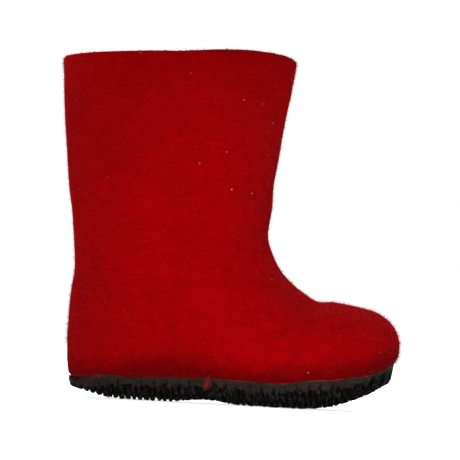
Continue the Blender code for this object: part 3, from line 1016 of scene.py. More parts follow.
@dataclass
class SoleForm:
    """The plan and the side profile of the sole, and what of the felt lies above it."""

    felt: FeltUpper
    start_x: float = 0.0031
    end_x: float = 0.1868
    width: float = 0.0785
    heel_round: float = 0.031
    toe_round: float = 0.046
    end_roundness: float = 2.1
    heel_flat_x: float = 0.033
    heel_rocker: float = 0.053
    toe_flat_x: float = 0.135
    toe_rocker: float = 0.076
    arch_back_x: float = 0.058
    arch_front_x: float = 0.104
    arch_rise: float = 0.0020
    lug_deep: float = 0.0058
    lug_end_share: float = 0.22
    lug_fade: float = 0.024
    lug_pitch: float = 0.0068
    stud_rows: int = 18
    first_groove_x: float = 0.0106
    lip_out: float = 0.0011
    edge_reach: float = 0.0115
    edge_thinning: float = 0.45
    edge_fade: float = 0.022
    nose_reach: float = 0.020
    nose_depth: float = 0.0023
    plan_samples: int = 600
    edge_points: int = 480
    inside_z: float = 0.036

    def __post_init__(self) -> None:
        """Lays the curve of the two flanks and takes the heel's place from the last."""
        rows = list(SOLE_STATIONS.values())
        self.flanks = Curve([row.along for row in rows], [row[1:] for row in rows])
        bands = list(RIM_BANDS.values())
        self.bands = Curve([band.along for band in bands], [[band.height] for band in bands])
        self.heel_x = self.felt.last.heel_x
        self.edge_line = self.outline(self.edge_points, (self.start_x, self.end_x))

    def end_round(self, share: float) -> float:
        """Share of the full width at a share of the way in from a rounded end."""
        return (1 - (1 - clamped(share)) ** self.end_roundness) ** (1 / self.end_roundness)

    def half_widths(self, x: float, ends: tuple[float, float], margin: float) -> np.ndarray:
        """Half widths of the outline to the outer and the inner side.

        Args:
            x: distance from the back of the heel.
            ends: where the outline starts and ends.
            margin: how far the outline lies inside the sole's edge.

        Returns:
            The outer and the inner half width.
        """
        flanks = self.flanks.at((x - self.start_x) / (self.end_x - self.start_x)) * self.width
        heel = self.end_round((x - ends[0]) / self.heel_round)
        toe = self.end_round((ends[1] - x) / self.toe_round)
        return (flanks - margin) * (heel * toe)

    def along(self, x: float) -> float:
        """Share of the sole's length at a place in the part's frame."""
        return (x - self.heel_x - self.start_x) / (self.end_x - self.start_x)

    def spread(self, x: float, y: float) -> float:
        """Share of its full width that the flank on the side of y has at a place in the part's frame."""
        return 2 * self.flanks.at(self.along(x))[0 if y < 0 else 1]

    def outline(self, count: int, ends: tuple[float, float], margin: float = 0.0) -> np.ndarray:
        """The closed plan outline, from the heel along the outer side to the toe and back along the inner.

        Args:
            count: number of evenly spaced points.
            ends: where the outline starts and ends.
            margin: how far it lies inside the sole's edge.

        Returns:
            Rows of (x, y) in the part's frame.
        """
        turns = np.linspace(0, math.pi, self.plan_samples)
        middle, half = (ends[0] + ends[1]) / 2, (ends[1] - ends[0]) / 2
        along = middle - half * np.cos(turns)
        widths = np.array([self.half_widths(x, ends, margin) for x in along])
        outer = np.stack([along, -widths[:, 0]], axis=1)
        inner = np.stack([along, widths[:, 1]], axis=1)[::-1]
        path = np.concatenate([outer, inner[1:]])
        length = np.concatenate([[0], np.cumsum(np.hypot(*np.diff(path, axis=0).T))])
        even = np.linspace(0, length[-1], count, endpoint=False)
        points = [np.interp(even, length, path[:, axis]) for axis in (0, 1)]
        return np.stack([points[0] + self.heel_x, points[1]], axis=1)

    def tip_height(self, x: float) -> float:
        """Height of the lugs' tips at a place in the part's frame: heel rocker, arch and toe spring."""
        x -= self.heel_x
        heel = max(0.0, self.heel_flat_x - x) ** 2 / (2 * self.heel_rocker)
        toe = max(0.0, x - self.toe_flat_x) ** 2 / (2 * self.toe_rocker)
        share = clamped((x - self.arch_back_x) / (self.arch_front_x - self.arch_back_x))
        return heel + toe + self.arch_rise * math.sin(math.pi * share) ** 2

    def lug_depth(self, x: float) -> float:
        """Depth of the tread at a place in the part's frame, which fades out towards both ends."""
        x -= self.heel_x
        share = clamped(min(x - self.start_x, self.end_x - x) / self.lug_fade)
        grown = share * share * (3 - 2 * share)
        return self.lug_deep * (self.lug_end_share + (1 - self.lug_end_share) * grown)

    def root_height(self, x: float) -> float:
        """Height of the tread's floor, which the lugs hang from."""
        return self.tip_height(x) + self.lug_depth(x)

    def edge(self, x: float, y: float) -> tuple[float, Vector]:
        """How far in from the sole's edge a place in the part's frame lies, and the level way out from there.

        Args:
            x: the place along the part.
            y: the place across it.

        Returns:
            The distance to the edge, and the way out of the plan.
        """
        away = self.edge_line - (x, y)
        nearest = int(np.argmin((away**2).sum(axis=1)))
        run = self.edge_line[(nearest + 1) % len(self.edge_line)] - self.edge_line[nearest - 1]
        return float(np.hypot(*away[nearest])), Vector((run[1], -run[0], 0.0)).normalized()

    def tread_root(self, x: float, y: float) -> tuple[float, float]:
        """The tread's floor at a place, which curves up to the rim's band along the sole's edge.

        Args:
            x: the place along the part.
            y: the place across it.

        Returns:
            The floor's height and the depth of the studs that hang from it.
        """
        from_heel, from_toe = x - self.heel_x - self.start_x, self.end_x - x + self.heel_x
        fade = clamped(min(from_heel, from_toe) / self.edge_fade)
        share = fade * max(0.0, 1 - self.edge(x, y)[0] / self.edge_reach) ** 2
        root = self.root_height(x)
        depth = self.lug_depth(x) * (1 - self.edge_thinning * share) + self.nose_depth * self.nose(x)
        return root + (self.notch_height(x, y) - root) * share, depth

    def nose(self, x: float) -> float:
        """Share of the heel's blunt nose at a place in the part's frame: 1 at the sole's end, fading to 0."""
        return max(0.0, 1 - max(x - self.heel_x - self.start_x, 0.0) / self.nose_reach) ** 2

    def notch_height(self, x: float, y: float) -> float:
        """Height that a groove climbs to in the rim at a place in the part's frame."""
        return max(self.root_height(x), self.under_felt(x, y) - self.bands.at(self.along(x))[0])

    def groove_places(self) -> list[float]:
        """Where the grooves between the rows of lugs cross the sole."""
        count = int((self.end_x - self.first_groove_x) / self.lug_pitch) + 1
        return [self.heel_x + self.first_groove_x + i * self.lug_pitch for i in range(count)]

    def under_felt(self, x: float, y: float) -> float:
        """Height of the felt's underside, less the gap that the sole is seated with."""
        hit = self.felt.tree.ray_cast(Vector((x, y, 0.0)), Vector((0, 0, 1)))[0]
        return hit.z - SEAT_GAP

    def joint_line(self) -> tuple[np.ndarray, np.ndarray]:
        """Places along the outer side from heel to toe, and the height of the felt's underside there."""
        line = self.edge_line[: len(self.edge_line) // 2]
        return line[:, 0], np.array([self.under_felt(x, y) for x, y in line])

    def footbed(self, x: float, y: float) -> float:
        """Height of the felt floor inside the foot."""
        hit = self.felt.tree.ray_cast(Vector((x, y, self.inside_z)), Vector((0, 0, -1)))[0]
        return hit.z + SEAT_GAP


class RimLevel(NamedTuple):
    """One level of the rim's wall: how far out it stands on the flanks and the heel's nose, and how high."""

    flank: float
    nose: float
    climb: float
    rise: float


RIM_LEVELS = {
    "foot": RimLevel(0.0004, -0.0001, 0.0, 0.0004),
    "step": RimLevel(0.0008, -0.0004, 0.0, 0.0012),
    "wall": RimLevel(0.0013, -0.0010, 0.50, 0.0),
    "flare": RimLevel(0.0018, -0.0017, 0.86, 0.0),
    "lip": RimLevel(0.0020, -0.0021, 0.96, 0.0),
    "lip top": RimLevel(0.0016, -0.0024, 1.0, -0.0001),
    "seat": RimLevel(0.0, -0.0030, 1.0, 0.0),
}


@dataclass
class Outsole:
    """The moulded rubber sole: a smooth rim round the felt, and rows of lugs that grooves part into studs."""

    form: SoleForm
    finish: RubberFinish
    around: int = 240
    rim_inset: float = 0.0009
    heel_out: float = 0.0019
    rim_drop: float = 0.0004
    lip_wave: float = 0.0003
    lip_waves: tuple[tuple[float, float], ...] = ((430.0, 1.3), (173.0, 0.0))
    cut_reach: float = 0.000001
    weld: float = 0.00008
    row_reach: float = 0.02
    groove_wander: float = 0.0004
    notch_rise: float = 0.0010
    notch_wander: float = 0.0006
    shallow_groove: float = 0.42
    root_gap: float = 0.00055
    root_share: float = 0.14
    first_inset: float = 0.00001
    stud_slope: float = 0.00120
    slope_wander: float = 0.15
    wall_slope: float = 0.0010
    least_reach: float = 0.0005
    least_tip: float = 0.24
    tip_wear: float = 0.14
    tip_lean: float = 0.00030
    slant: float = 0.0021
    slant_x: float = 0.002
    slant_reach: float = 0.050
    tip_round: float = 0.00012
    sharp: float = 38.0
    # band_fade to facing_fade: how the tread's painted shade comes in below the band, deep inside and on
    # faces turned away.
    band_fade: float = 0.0040
    gap_shade_fade: float = 0.0010
    hidden_from: float = 0.0030
    hidden_over: float = 0.0060
    facing: float = 0.65
    facing_fade: float = 0.35
    row_stagger: float = 0.25
    stagger_x: float = -0.026
    heel_stagger: float = 0.10
    dish_shares: tuple[float, ...] = (0.975, 0.9, 0.75, 0.5, 0.22)

    def build(self) -> bpy.types.Object:
        """Cuts the tread, draws its studs, raises the rim, closes the dished top and dresses the sole.

        Returns:
            The outsole's object.
        """
        bm = bmesh.new()
        self.draw = np.random.RandomState(TREAD_SEED)
        self.cut_tread(bm)
        rim = self.outward([edge for edge in bm.edges if edge.is_boundary])
        self.set_floor(bm, rim)
        tips = self.draw_studs(bm, bm.faces[:], dict(rim))
        self.raise_rim(bm, rim)
        self.round_tips(bm, tips)
        bmesh.ops.recalc_face_normals(bm, faces=bm.faces)
        bm.verts.layers.int.remove(bm.verts.layers.int["deep_groove"])
        self.mark_tread_shade(bm)
        piece = add_piece("rubber_outsole", bm, self.finish.make(), self.sharp)
        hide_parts("outsole")
        return piece

    def cut_tread(self, bm: bmesh.types.BMesh) -> None:
        """Lays the sole's plan as one face and cuts it along the grooves into a cell for each stud.

        The plan is cut while its flanks are drawn out straight, so that the rows of studs follow them. The
        points on the deep grooves, every second one along and across, are kept for the floor to be set.
        """
        form = self.form
        ends = (form.start_x + self.rim_inset - self.heel_out, form.end_x - self.rim_inset)
        outline = form.outline(self.around, ends, self.rim_inset)
        circle = bmesh.ops.create_circle(bm, segments=self.around, cap_ends=True)["verts"]
        for vert, (x, y) in zip(circle, outline):
            vert.co = (x, y / form.spread(x, y), 0.0)
        deep = bm.verts.layers.int.new("deep_groove")
        for line in range(1, form.stud_rows):
            place = (0, line * form.width / form.stud_rows - form.width / 2, 0)
            for vert in self.cut(bm, bm.faces[:], place, (0, 1, 0)):
                vert[deep] = line % 2
        for x in form.groove_places():
            for half in (0, 1):
                place = x - half * form.lug_pitch / 2 + self.draw.uniform(-1, 1) * self.groove_wander
                for shift in sorted({self.stagger(face, place) for face in bm.faces}):
                    cells = [face for face in bm.faces if self.stagger(face, place) == shift]
                    for vert in self.cut(bm, cells, (place + shift * form.lug_pitch, 0, 0), (1, 0, 0)):
                        vert[deep] = int(half == 0 or self.on_deep_row(vert))
        bmesh.ops.remove_doubles(bm, verts=bm.verts, dist=self.weld)

    def on_deep_row(self, vert: bmesh.types.BMVert) -> bool:
        """Whether a point lies on an odd line between rows, while the flanks are straight."""
        across = (vert.co.y / self.form.width + 0.5) * self.form.stud_rows
        return round(across) % 2 == 1 and abs(across - round(across)) < self.row_reach

    def stagger(self, face: bmesh.types.BMFace, x: float) -> float:
        """Share of the pitch by which the row that a cell is in is shifted along at a place."""
        form = self.form
        row = math.floor((face.calc_center_median().y / form.width + 0.5) * form.stud_rows)
        odd_row = self.row_stagger if x > self.stagger_x else self.heel_stagger
        return 0.5 * ((row + 1) // 2 % 2) + (row % 2) * odd_row

    def set_floor(self, bm: bmesh.types.BMesh, rim: Mapping[bmesh.types.BMVert, Vector]) -> None:
        """Draws the flanks back to their true line and sets the heights of the tread's floor and notches.

        Args:
            bm: the sole's bmesh.
            rim: the way out of the plan at each vertex of its edge.
        """
        form = self.form
        deep = bm.verts.layers.int["deep_groove"]
        for vert in bm.verts:
            vert.co.y *= form.spread(vert.co.x, vert.co.y)
        for vert in bm.verts:
            root, depth = form.tread_root(vert.co.x, vert.co.y)
            if vert not in rim:
                vert.co.z = root - (0.0 if vert[deep] else depth * (1 - self.shallow_groove))
            else:
                wander = self.draw.uniform(-1, 1) * self.notch_wander
                notched = vert[deep] and len(vert.link_edges) > 2
                top = form.notch_height(vert.co.x, vert.co.y) + self.notch_rise + wander
                vert.co.z = max(root, top) if notched else root - self.rim_drop

    def cut(
        self, bm: bmesh.types.BMesh, faces: Sequence[bmesh.types.BMFace], place: Place, across: Place
    ) -> list[bmesh.types.BMVert]:
        """Cuts some of the faces along a plane.

        Args:
            bm: the sole's bmesh.
            faces: the faces to cut.
            place: a point on the plane.
            across: the plane's normal.

        Returns:
            The vertices along the cut.
        """
        geom = list({part for face in faces for part in (face, *face.edges, *face.verts)})
        made = bmesh.ops.bisect_plane(bm, geom=geom, dist=self.cut_reach, plane_co=place, plane_no=across)
        return [part for part in made["geom_cut"] if isinstance(part, bmesh.types.BMVert)]

    def raise_rim(self, bm: bmesh.types.BMesh, rim: Mapping[bmesh.types.BMVert, Vector]) -> None:
        """Draws the plan's edge up into the rim and in under the felt, and closes the dished top.

        Args:
            bm: the sole's bmesh.
            rim: the way out of the plan at each vertex of its edge.
        """
        edge = [e for e in bm.edges if e.is_boundary]
        centre = Vector(((self.form.start_x + self.form.end_x) / 2 + self.form.heel_x, 0, 0))
        loop = {vert: (vert.co.copy(), way) for vert, way in rim.items()}
        for flank, nose, climb, rise in RIM_LEVELS.values():
            edge, loop = draw_out(bm, edge, loop)
            for vert, (start, side) in loop.items():
                vert.co = start + side * (flank + (nose - flank) * self.form.nose(start.x))
                root = start.z + self.rim_drop
                top = self.form.under_felt(vert.co.x, vert.co.y)
                if flank > 0:
                    top += self.wave(start.x)
                vert.co.z = root + (top - root) * climb + rise
        for share in self.dish_shares:
            edge, loop = draw_out(bm, edge, loop)
            for vert, (start, _) in loop.items():
                vert.co = centre + (start - centre) * share
                vert.co.z = self.form.under_felt(vert.co.x, vert.co.y)
        top = bmesh.ops.contextual_create(bm, geom=edge)["faces"]
        for vert in bmesh.ops.poke(bm, faces=top)["verts"]:
            vert.co.z = self.form.under_felt(vert.co.x, vert.co.y)

    @staticmethod
    def outward(edge: Sequence[bmesh.types.BMEdge]) -> dict[bmesh.types.BMVert, Vector]:
        """The way out of the plan at each vertex of its edge."""
        ways: dict[bmesh.types.BMVert, Vector] = {}
        for part in edge:
            middle = part.link_faces[0].calc_center_median()
            run = part.verts[1].co - part.verts[0].co
            side = Vector((run.y, -run.x, 0))
            if side.dot(part.verts[0].co - middle) < 0:
                side.negate()
            for vert in part.verts:
                ways[vert] = ways.get(vert, Vector()) + side
        return {vert: way.normalized() for vert, way in ways.items()}

    def wave(self, x: float) -> float:
        """How far the rim's lip strays up or down along the felt's edge."""
        waves = [math.sin(rate * x + phase) for rate, phase in self.lip_waves]
        return self.lip_wave * sum(waves) / len(waves)

    def draw_studs(
        self,
        bm: bmesh.types.BMesh,
        cells: Sequence[bmesh.types.BMFace],
        rim: Mapping[bmesh.types.BMVert, Vector],
    ) -> list[bmesh.types.BMFace]:
        """Draws a tapered stud down out of each cell of the tread.

        Args:
            bm: the sole's bmesh.
            cells: the faces that the grooves left.
            rim: the way out of the plan at each vertex of its edge.

        Returns:
            The studs' tip faces.
        """
        tips = []
        for cell in cells:
            slope = self.stud_slope * self.draw.uniform(1 - self.slope_wander, 1 + self.slope_wander)
            worn = self.draw.uniform(0.0, self.tip_wear)
            lean = Vector((*self.draw.normal(size=2), 0)) * self.tip_lean
            from_waist = (cell.calc_center_median().x - self.slant_x) / self.slant_reach
            lean.x += self.slant * math.exp(-from_waist * from_waist)
            if self.sink(bm, cell, slope, worn, lean, rim):
                tips.append(cell)
        return tips

    def sink(
        self,
        bm: bmesh.types.BMesh,
        cell: bmesh.types.BMFace,
        slope: float,
        worn: float,
        lean: Vector,
        rim: Mapping[bmesh.types.BMVert, Vector],
    ) -> bool:
        """Draws a cell down to its stud's tip and narrows it, but hardly on the sole's outer wall.

        Args:
            bm: the sole's bmesh.
            cell: the cell, which stays as the tip.
            slope: how far the stud's sides come in.
            worn: share of the stud's depth that is worn off.
            lean: how far the tip is moved along the sole.
            rim: the way out of the plan at each vertex of its edge.

        Returns:
            Whether the cell was wide enough for a stud.
        """
        middle = cell.calc_center_median_weighted()
        reach = [max(abs(vert.co[axis] - middle[axis]) for vert in cell.verts) for axis in (0, 1)]
        if min(reach) < self.least_reach:
            return False
        held = {vert: (vert.co.copy(), rim.get(vert)) for vert in cell.verts}
        for come_in, down in ((self.root_gap, self.root_share), (slope, 1.0)):
            bmesh.ops.inset_individual(bm, faces=[cell], thickness=self.first_inset)
            drawn = {}
            for vert in cell.verts:
                before = next(e.other_vert(vert) for e in vert.link_edges if e.other_vert(vert) in held)
                start, out = drawn[vert] = held[before]
                for axis in (0, 1):
                    keep = max(1 - come_in / reach[axis], self.least_tip)
                    vert.co[axis] = middle[axis] + (start[axis] - middle[axis]) * keep + lean[axis] * down
                if out is not None:
                    vert.co += out * ((start - vert.co).dot(out) - self.wall_slope * down)
                root, depth = self.form.tread_root(vert.co.x, vert.co.y)
                vert.co.z = max(0.0, start.z + (root - depth * (1 - worn) - start.z) * down)
            held = drawn
        return True

    def round_tips(self, bm: bmesh.types.BMesh, tips: Sequence[bmesh.types.BMFace]) -> None:
        """Rounds the edges of the lugs' points."""
        edges = {edge for tip in tips for edge in tip.edges}
        bmesh.ops.bevel(
            bm, geom=list(edges), offset=self.tip_round, affect="EDGES", segments=2, profile=0.5, material=-1
        )
        for vert in bm.verts:
            vert.co.z = max(vert.co.z, 0.0)

    def mark_tread_shade(self, bm: bmesh.types.BMesh) -> None:
        """Notes at each corner of a face how deep in the tread it lies and whether it faces away, as painted
        shade for its finish to read.

        The rim counts as 0, the outward faces of the studs along the edge as up to a half, and all that lies
        further in or faces away as up to 1; the finish paints these as shade, darker and then black.
        """
        layer = bm.loops.layers.float.new(self.finish.depth)
        bm.normal_update()
        for vert in bm.verts:
            x, y, z = vert.co
            inward, out = self.form.edge(x, y)
            below = max(self.form.notch_height(x, y) - z, 0.0)
            hidden = clamped((inward - self.hidden_from) / self.hidden_over)
            shown = clamped(below / self.band_fade) / 2
            for loop in vert.link_loops:
                turned = clamped((self.facing - loop.face.normal.dot(out)) / self.facing_fade)
                # Painted shade: darker below the rim's band, up to black deep in the tread and on faces
                # turned away from the edge.
                loop[layer] = max(shown, clamped(below / self.gap_shade_fade) * max(hidden, turned))


@dataclass
class CementLine:
    """The thin bead of cement that was squeezed out between the felt and the rubber rim."""

    form: SoleForm
    finish: CementFinish
    around: int = 420
    sides: int = 6
    thin: float = 0.00012
    thick: float = 0.00042
    toe_start: float = -0.015
    toe_full: float = 0.040
    patch_size: float = 0.009
    patch_mean: float = 0.5
    patch_swing: float = 0.9
    proud: float = 0.00005

    def build(self) -> bpy.types.Object:
        """Lays the bead along the rim's top edge and dresses it.

        Returns:
            The bead's object.
        """
        path = self.path()
        run = np.roll(path, -1, axis=0) - np.roll(path, 1, axis=0)
        out = np.stack([run[:, 1], -run[:, 0], np.zeros(len(run))], axis=1)
        out /= np.linalg.norm(out, axis=1)[:, None]
        turns = np.arange(self.sides) * 2 * math.pi / self.sides
        rings = []
        for point, side in zip(path, out):
            radius = self.radius(point)
            ring = [point + side * math.cos(t) * radius + Vector((0, 0, math.sin(t) * radius)) for t in turns]
            rings.append(np.array(ring))
        loft = Loft(rings)
        loft.join_ends()
        piece = add_piece("cement_line", loft.bm, self.finish.make())
        return piece

    def path(self) -> np.ndarray:
        """The rim's top edge, a little proud of it."""
        out = self.form.lip_out
        plan = self.form.outline(self.around, (self.form.start_x - out, self.form.end_x + out), -out)
        return np.array([(x, y, self.form.under_felt(x, y) + self.proud) for x, y in plan])

    def radius(self, point: np.ndarray) -> float:
        """Thickness of the bead: thin and patchy, and fuller towards the toe."""
        share = clamped((point[0] - self.toe_start) / (self.toe_full - self.toe_start))
        patch = clamped(self.patch_mean + self.patch_swing * noise.noise(Vector(point) / self.patch_size))
        return self.thin + (self.thick - self.thin) * share * patch


@dataclass
class Insole:
    """The felt footbed that lies loose on the floor of the upper."""

    form: SoleForm
    finish: FeltFinish
    start_x: float = 0.0164
    end_x: float = 0.1676
    margin: float = 0.0089
    thickness: float = 0.003
    around: int = 128
    edge_round: float = 0.03
    edge_turns: tuple[float, ...] = (-90, -45, 0, 45, 90)
    sharp: float = 60.0
    shares: tuple[float, ...] = (0.08, 0.2, 0.34, 0.48, 0.62, 0.76, 0.88)
    lump: float = 0.00018
    lump_size: float = 0.014

    def build(self) -> bpy.types.Object:
        """Lofts the footbed over the felt's floor and dresses it.

        Returns:
            The insole's object.
        """
        outline = self.form.outline(self.around, (self.start_x, self.end_x), self.margin)
        middle = np.array(((self.start_x + self.end_x) / 2 + self.form.heel_x, 0.0))
        levels = [(share, 0.0) for share in self.shares]
        for turn in np.radians(self.edge_turns):
            levels.append((1 - self.edge_round * (1 - math.cos(turn)), (1 + math.sin(turn)) / 2))
        levels += [(share, 1.0) for share in self.shares[::-1]]
        rings = [self.ring(middle + (outline - middle) * share, height) for share, height in levels]
        loft = Loft(rings)
        poles = [self.ring(middle[None], height)[0] for height in (0.0, 1.0)]
        loft.close(*poles)
        piece = add_piece("felt_insole", loft.bm, self.finish.make(), self.sharp)
        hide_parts("insole")
        return piece

    def ring(self, plan: np.ndarray, height: float) -> np.ndarray:
        """Points over the felt's floor at a share of the insole's thickness, with a trodden top."""
        made = []
        for x, y in plan:
            lump = self.lump * noise.noise(Vector((x, y, 0)) / self.lump_size) * height
            made.append((x, y, self.form.footbed(x, y) + self.thickness * height + lump))
        return np.array(made)


class FibreStrands:
    """Many tapered fibres, joined into one mesh."""

    sides = 3
    steep = 0.8

    @classmethod
    def mesh(cls, name: str, paths: np.ndarray, radii: np.ndarray) -> bpy.types.Mesh:
        """Makes a closed three-sided tube along each path, ending in a point.

        Args:
            name: the mesh's name.
            paths: points of each fibre, by fibre, step and axis.
            radii: thickness at each step but the last, by fibre and step.

        Returns:
            The joined mesh.
        """
        count, steps, _ = paths.shape
        run = paths[:, -1] - paths[:, 0]
        run /= np.linalg.norm(run, axis=1)[:, None]
        helper = np.where(np.abs(run[:, 2:]) < cls.steep, [[0.0, 0.0, 1.0]], [[1.0, 0.0, 0.0]])
        first = np.cross(run, helper)
        first /= np.linalg.norm(first, axis=1)[:, None]
        second = np.cross(run, first)
        rings = []
        for side in range(cls.sides):
            turn = 2 * math.pi * side / cls.sides
            way = first * math.cos(turn) + second * math.sin(turn)
            rings.append(paths[:, :-1] + way[:, None] * radii[:, :, None])
        tubes = np.stack(rings, axis=2).reshape(count, -1, 3)
        verts = np.concatenate([tubes, paths[:, -1:]], axis=1)
        pattern = cls.pattern(steps)
        each = verts.shape[1]
        starts = range(0, count * each, each)
        faces = [tuple(start + corner for corner in face) for start in starts for face in pattern]
        made = bpy.data.meshes.new(name)
        made.from_pydata(verts.reshape(-1, 3).tolist(), [], faces)
        return made

    @classmethod
    def pattern(cls, steps: int) -> list[tuple[int, ...]]:
        """The faces of one fibre, by the numbers of its vertices."""
        sides = cls.sides
        faces: list[tuple[int, ...]] = [tuple(range(sides))[::-1]]
        for step in range(steps - 2):
            for side in range(sides):
                low, beside = step * sides + side, step * sides + (side + 1) % sides
                faces.append((low, beside, beside + sides, low + sides))
        tip, last = (steps - 1) * sides, (steps - 2) * sides
        return faces + [(last + side, last + (side + 1) % sides, tip) for side in range(sides)]


class NapPlan(NamedTuple):
    """How one kind of nap grows: its fibres, how they lean, where they grow and their length on the shaft."""

    fibres: int
    shortest: float
    longest: float
    thickness: float
    upright: float
    curl: float
    lowest: float
    on_shaft: float
    finish: FibreFinish


class Nap(Enum):
    """The kinds of nap on the felt."""

    GROUND = NapPlan(19900, 0.0012, 0.0026, 0.000050, 0.55, 0.9, 0.0, 0.62, RED_FIBRE_PAINTED_LIGHT)
    LOOSE = NapPlan(16000, 0.0013, 0.0029, 0.000048, 0.75, 1.1, 0.0, 0.62, RED_FIBRE_PAINTED_LIGHT)
    COLLAR = NapPlan(4200, 0.0007, 0.0018, 0.000048, 0.80, 0.8, 0.186, 1.0, RED_FIBRE_PAINTED_LIGHT)
    DARK = NapPlan(260, 0.0007, 0.0018, 0.000040, 0.45, 1.2, 0.190, 1.0, DARK_FIBRE)
    STRAY = NapPlan(120, 0.0014, 0.0032, 0.000022, 0.35, 1.6, 0.0, 1.0, PALE_FIBRE)


@dataclass
class FeltNap:
    """The loose fibre ends that stand out of the felt."""

    felt: FeltUpper
    sunk: float = 0.00025
    over_sole: float = 0.0020
    shaft_from: tuple[float, float] = (0.060, 0.100)
    joints: tuple[float, ...] = (0.0, 0.55, 1.0)
    taper: tuple[float, ...] = (1.0, 0.8)
    bend: float = 0.25

    def build(self, kind: Nap, form: SoleForm) -> bpy.types.Object:
        """Grows one kind of nap on the felt.

        Args:
            kind: the kind of nap.
            form: the sole, which no fibre grows under.

        Returns:
            The nap's object.
        """
        plan = kind.value
        draw = np.random.RandomState(NAP_SEED + list(Nap).index(kind))
        roots, normals = self.roots(plan, form, draw)
        count = len(roots)
        lean = draw.normal(size=(count, 3))
        lean -= normals * (lean * normals).sum(axis=1)[:, None]
        lean /= np.linalg.norm(lean, axis=1)[:, None]
        way = normals * plan.upright + lean * (1 - plan.upright)
        way /= np.linalg.norm(way, axis=1)[:, None]
        bend = draw.normal(size=(count, 3)) * plan.curl * self.bend
        length = draw.uniform(plan.shortest, plan.longest, count)[:, None]
        length *= np.interp(roots[:, 2:], self.shaft_from, (1.0, plan.on_shaft))
        start = roots - normals * self.sunk
        paths = np.stack([start + (way * t + bend * t * t) * length for t in self.joints], axis=1)
        radii = np.tile(plan.thickness * np.array(self.taper), (count, 1))
        name = "felt_nap_" + kind.name.lower()
        piece = add_piece(name, FibreStrands.mesh(name, paths, radii), plan.finish.make())
        return piece

    def roots(
        self, plan: NapPlan, form: SoleForm, draw: np.random.RandomState
    ) -> tuple[np.ndarray, np.ndarray]:
        """Picks where the fibres grow, evenly over the felt that isn't under the sole.

        Args:
            plan: the nap's plan.
            form: the sole.
            draw: the random draws.

        Returns:
            The roots and the felt's normals there.
        """
        felt = self.felt
        joint = np.interp(felt.centres[:, 0], *form.joint_line())
        grows = (felt.centres[:, 2] > plan.lowest) & (felt.centres[:, 2] > joint + self.over_sole)
        chance = felt.areas * grows
        picked = draw.choice(len(chance), plan.fibres, p=chance / chance.sum())
        normals = felt.normals[picked]
        spread = draw.uniform(-0.5, 0.5, (plan.fibres, 3)) * felt.spreads[picked][:, None]
        spread -= normals * (spread * normals).sum(axis=1)[:, None]
        return felt.centres[picked] + spread, normals


class KnotPlan(NamedTuple):
    """One kind of knot: its finish, sizes, places on the outer side, and how many more lie elsewhere."""

    finish: FibreFinish
    smallest: float
    largest: float
    seen: tuple[tuple[float, float], ...]
    scattered: int
    on_collar: int


class Knot(Enum):
    """The kinds of small wool knot that felting leaves on the surface."""

    PALE = KnotPlan(
        PALE_FIBRE, 0.00022, 0.00036,
        ((0.0146, 0.1728), (0.0038, 0.1745), (-0.0002, 0.1232), (0.0113, 0.1215), (-0.0044, 0.1443),
         (-0.0713, 0.1261), (-0.0274, 0.1880), (0.0489, 0.0214), (0.0893, 0.0350)),
        10, 0,
    )
    DARK = KnotPlan(
        DARK_FIBRE, 0.00034, 0.00066,
        ((-0.0779, 0.1913), (-0.0760, 0.1564), (-0.0323, 0.1527), (-0.0438, 0.0559), (-0.0778, 0.0777)),
        10, 60,
    )


@dataclass
class FeltKnots:
    """Small knots of wool, pale or dark, flattened into the felt."""

    felt: FeltUpper
    lump: float = 0.16
    long: tuple[float, float] = (0.8, 1.5)
    wide: tuple[float, float] = (0.6, 1.1)
    flat: float = 0.55
    lowest: float = 0.030

    def build(self, kind: Knot) -> bpy.types.Object:
        """Sets one kind of knot on the felt.

        Args:
            kind: the kind of knot.

        Returns:
            The knots' object.
        """
        plan = kind.value
        draw = np.random.RandomState(KNOT_SEED + list(Knot).index(kind))
        bm = bmesh.new()
        for point, normal in self.places(plan, draw):
            size = draw.uniform(plan.smallest, plan.largest)
            knot = bmesh.ops.create_icosphere(bm, subdivisions=2, radius=size)["verts"]
            for vert in knot:
                vert.co += Vector(draw.normal(size=3)) * size * self.lump
            turn = Vector((0, 0, 1)).rotation_difference(normal).to_matrix().to_4x4()
            shape = Matrix.Diagonal((draw.uniform(*self.long), draw.uniform(*self.wide), self.flat, 1.0))
            spin = Matrix.Rotation(draw.uniform(0, math.pi), 4, "Z")
            bmesh.ops.transform(bm, matrix=Matrix.Translation(point) @ turn @ spin @ shape, verts=knot)
        piece = add_piece("felt_knots_" + kind.name.lower(), bm, plan.finish.make())
        return piece

    def places(self, plan: KnotPlan, draw: np.random.RandomState) -> list[tuple[Vector, Vector]]:
        """The knots' places: some listed on the outer side, the rest over the felt and along its collar.

        Args:
            plan: the knots' plan.
            draw: the random draws.

        Returns:
            Places with the felt's normals there.
        """
        found = []
        for x, z in plan.seen:
            point, normal, _, _ = self.felt.tree.ray_cast(Vector((x, OUTSIDE_Y, z)), Vector((0, 1, 0)))
            if point:
                found.append((point, normal))
        high = np.flatnonzero(self.felt.centres[:, 2] > self.lowest)
        for i in draw.choice(high, plan.scattered):
            found.append((Vector(self.felt.centres[i]), Vector(self.felt.normals[i])))
        for i in draw.choice(len(self.felt.top_edge), plan.on_collar, replace=False):
            found.append(self.felt.top_edge[i])
        return found


class Wisp(NamedTuple):
    """One wisp of wool: where it hangs along the boot, how wide, how long and of how many fibres."""

    x: float
    spread: float
    length: float
    fibres: int


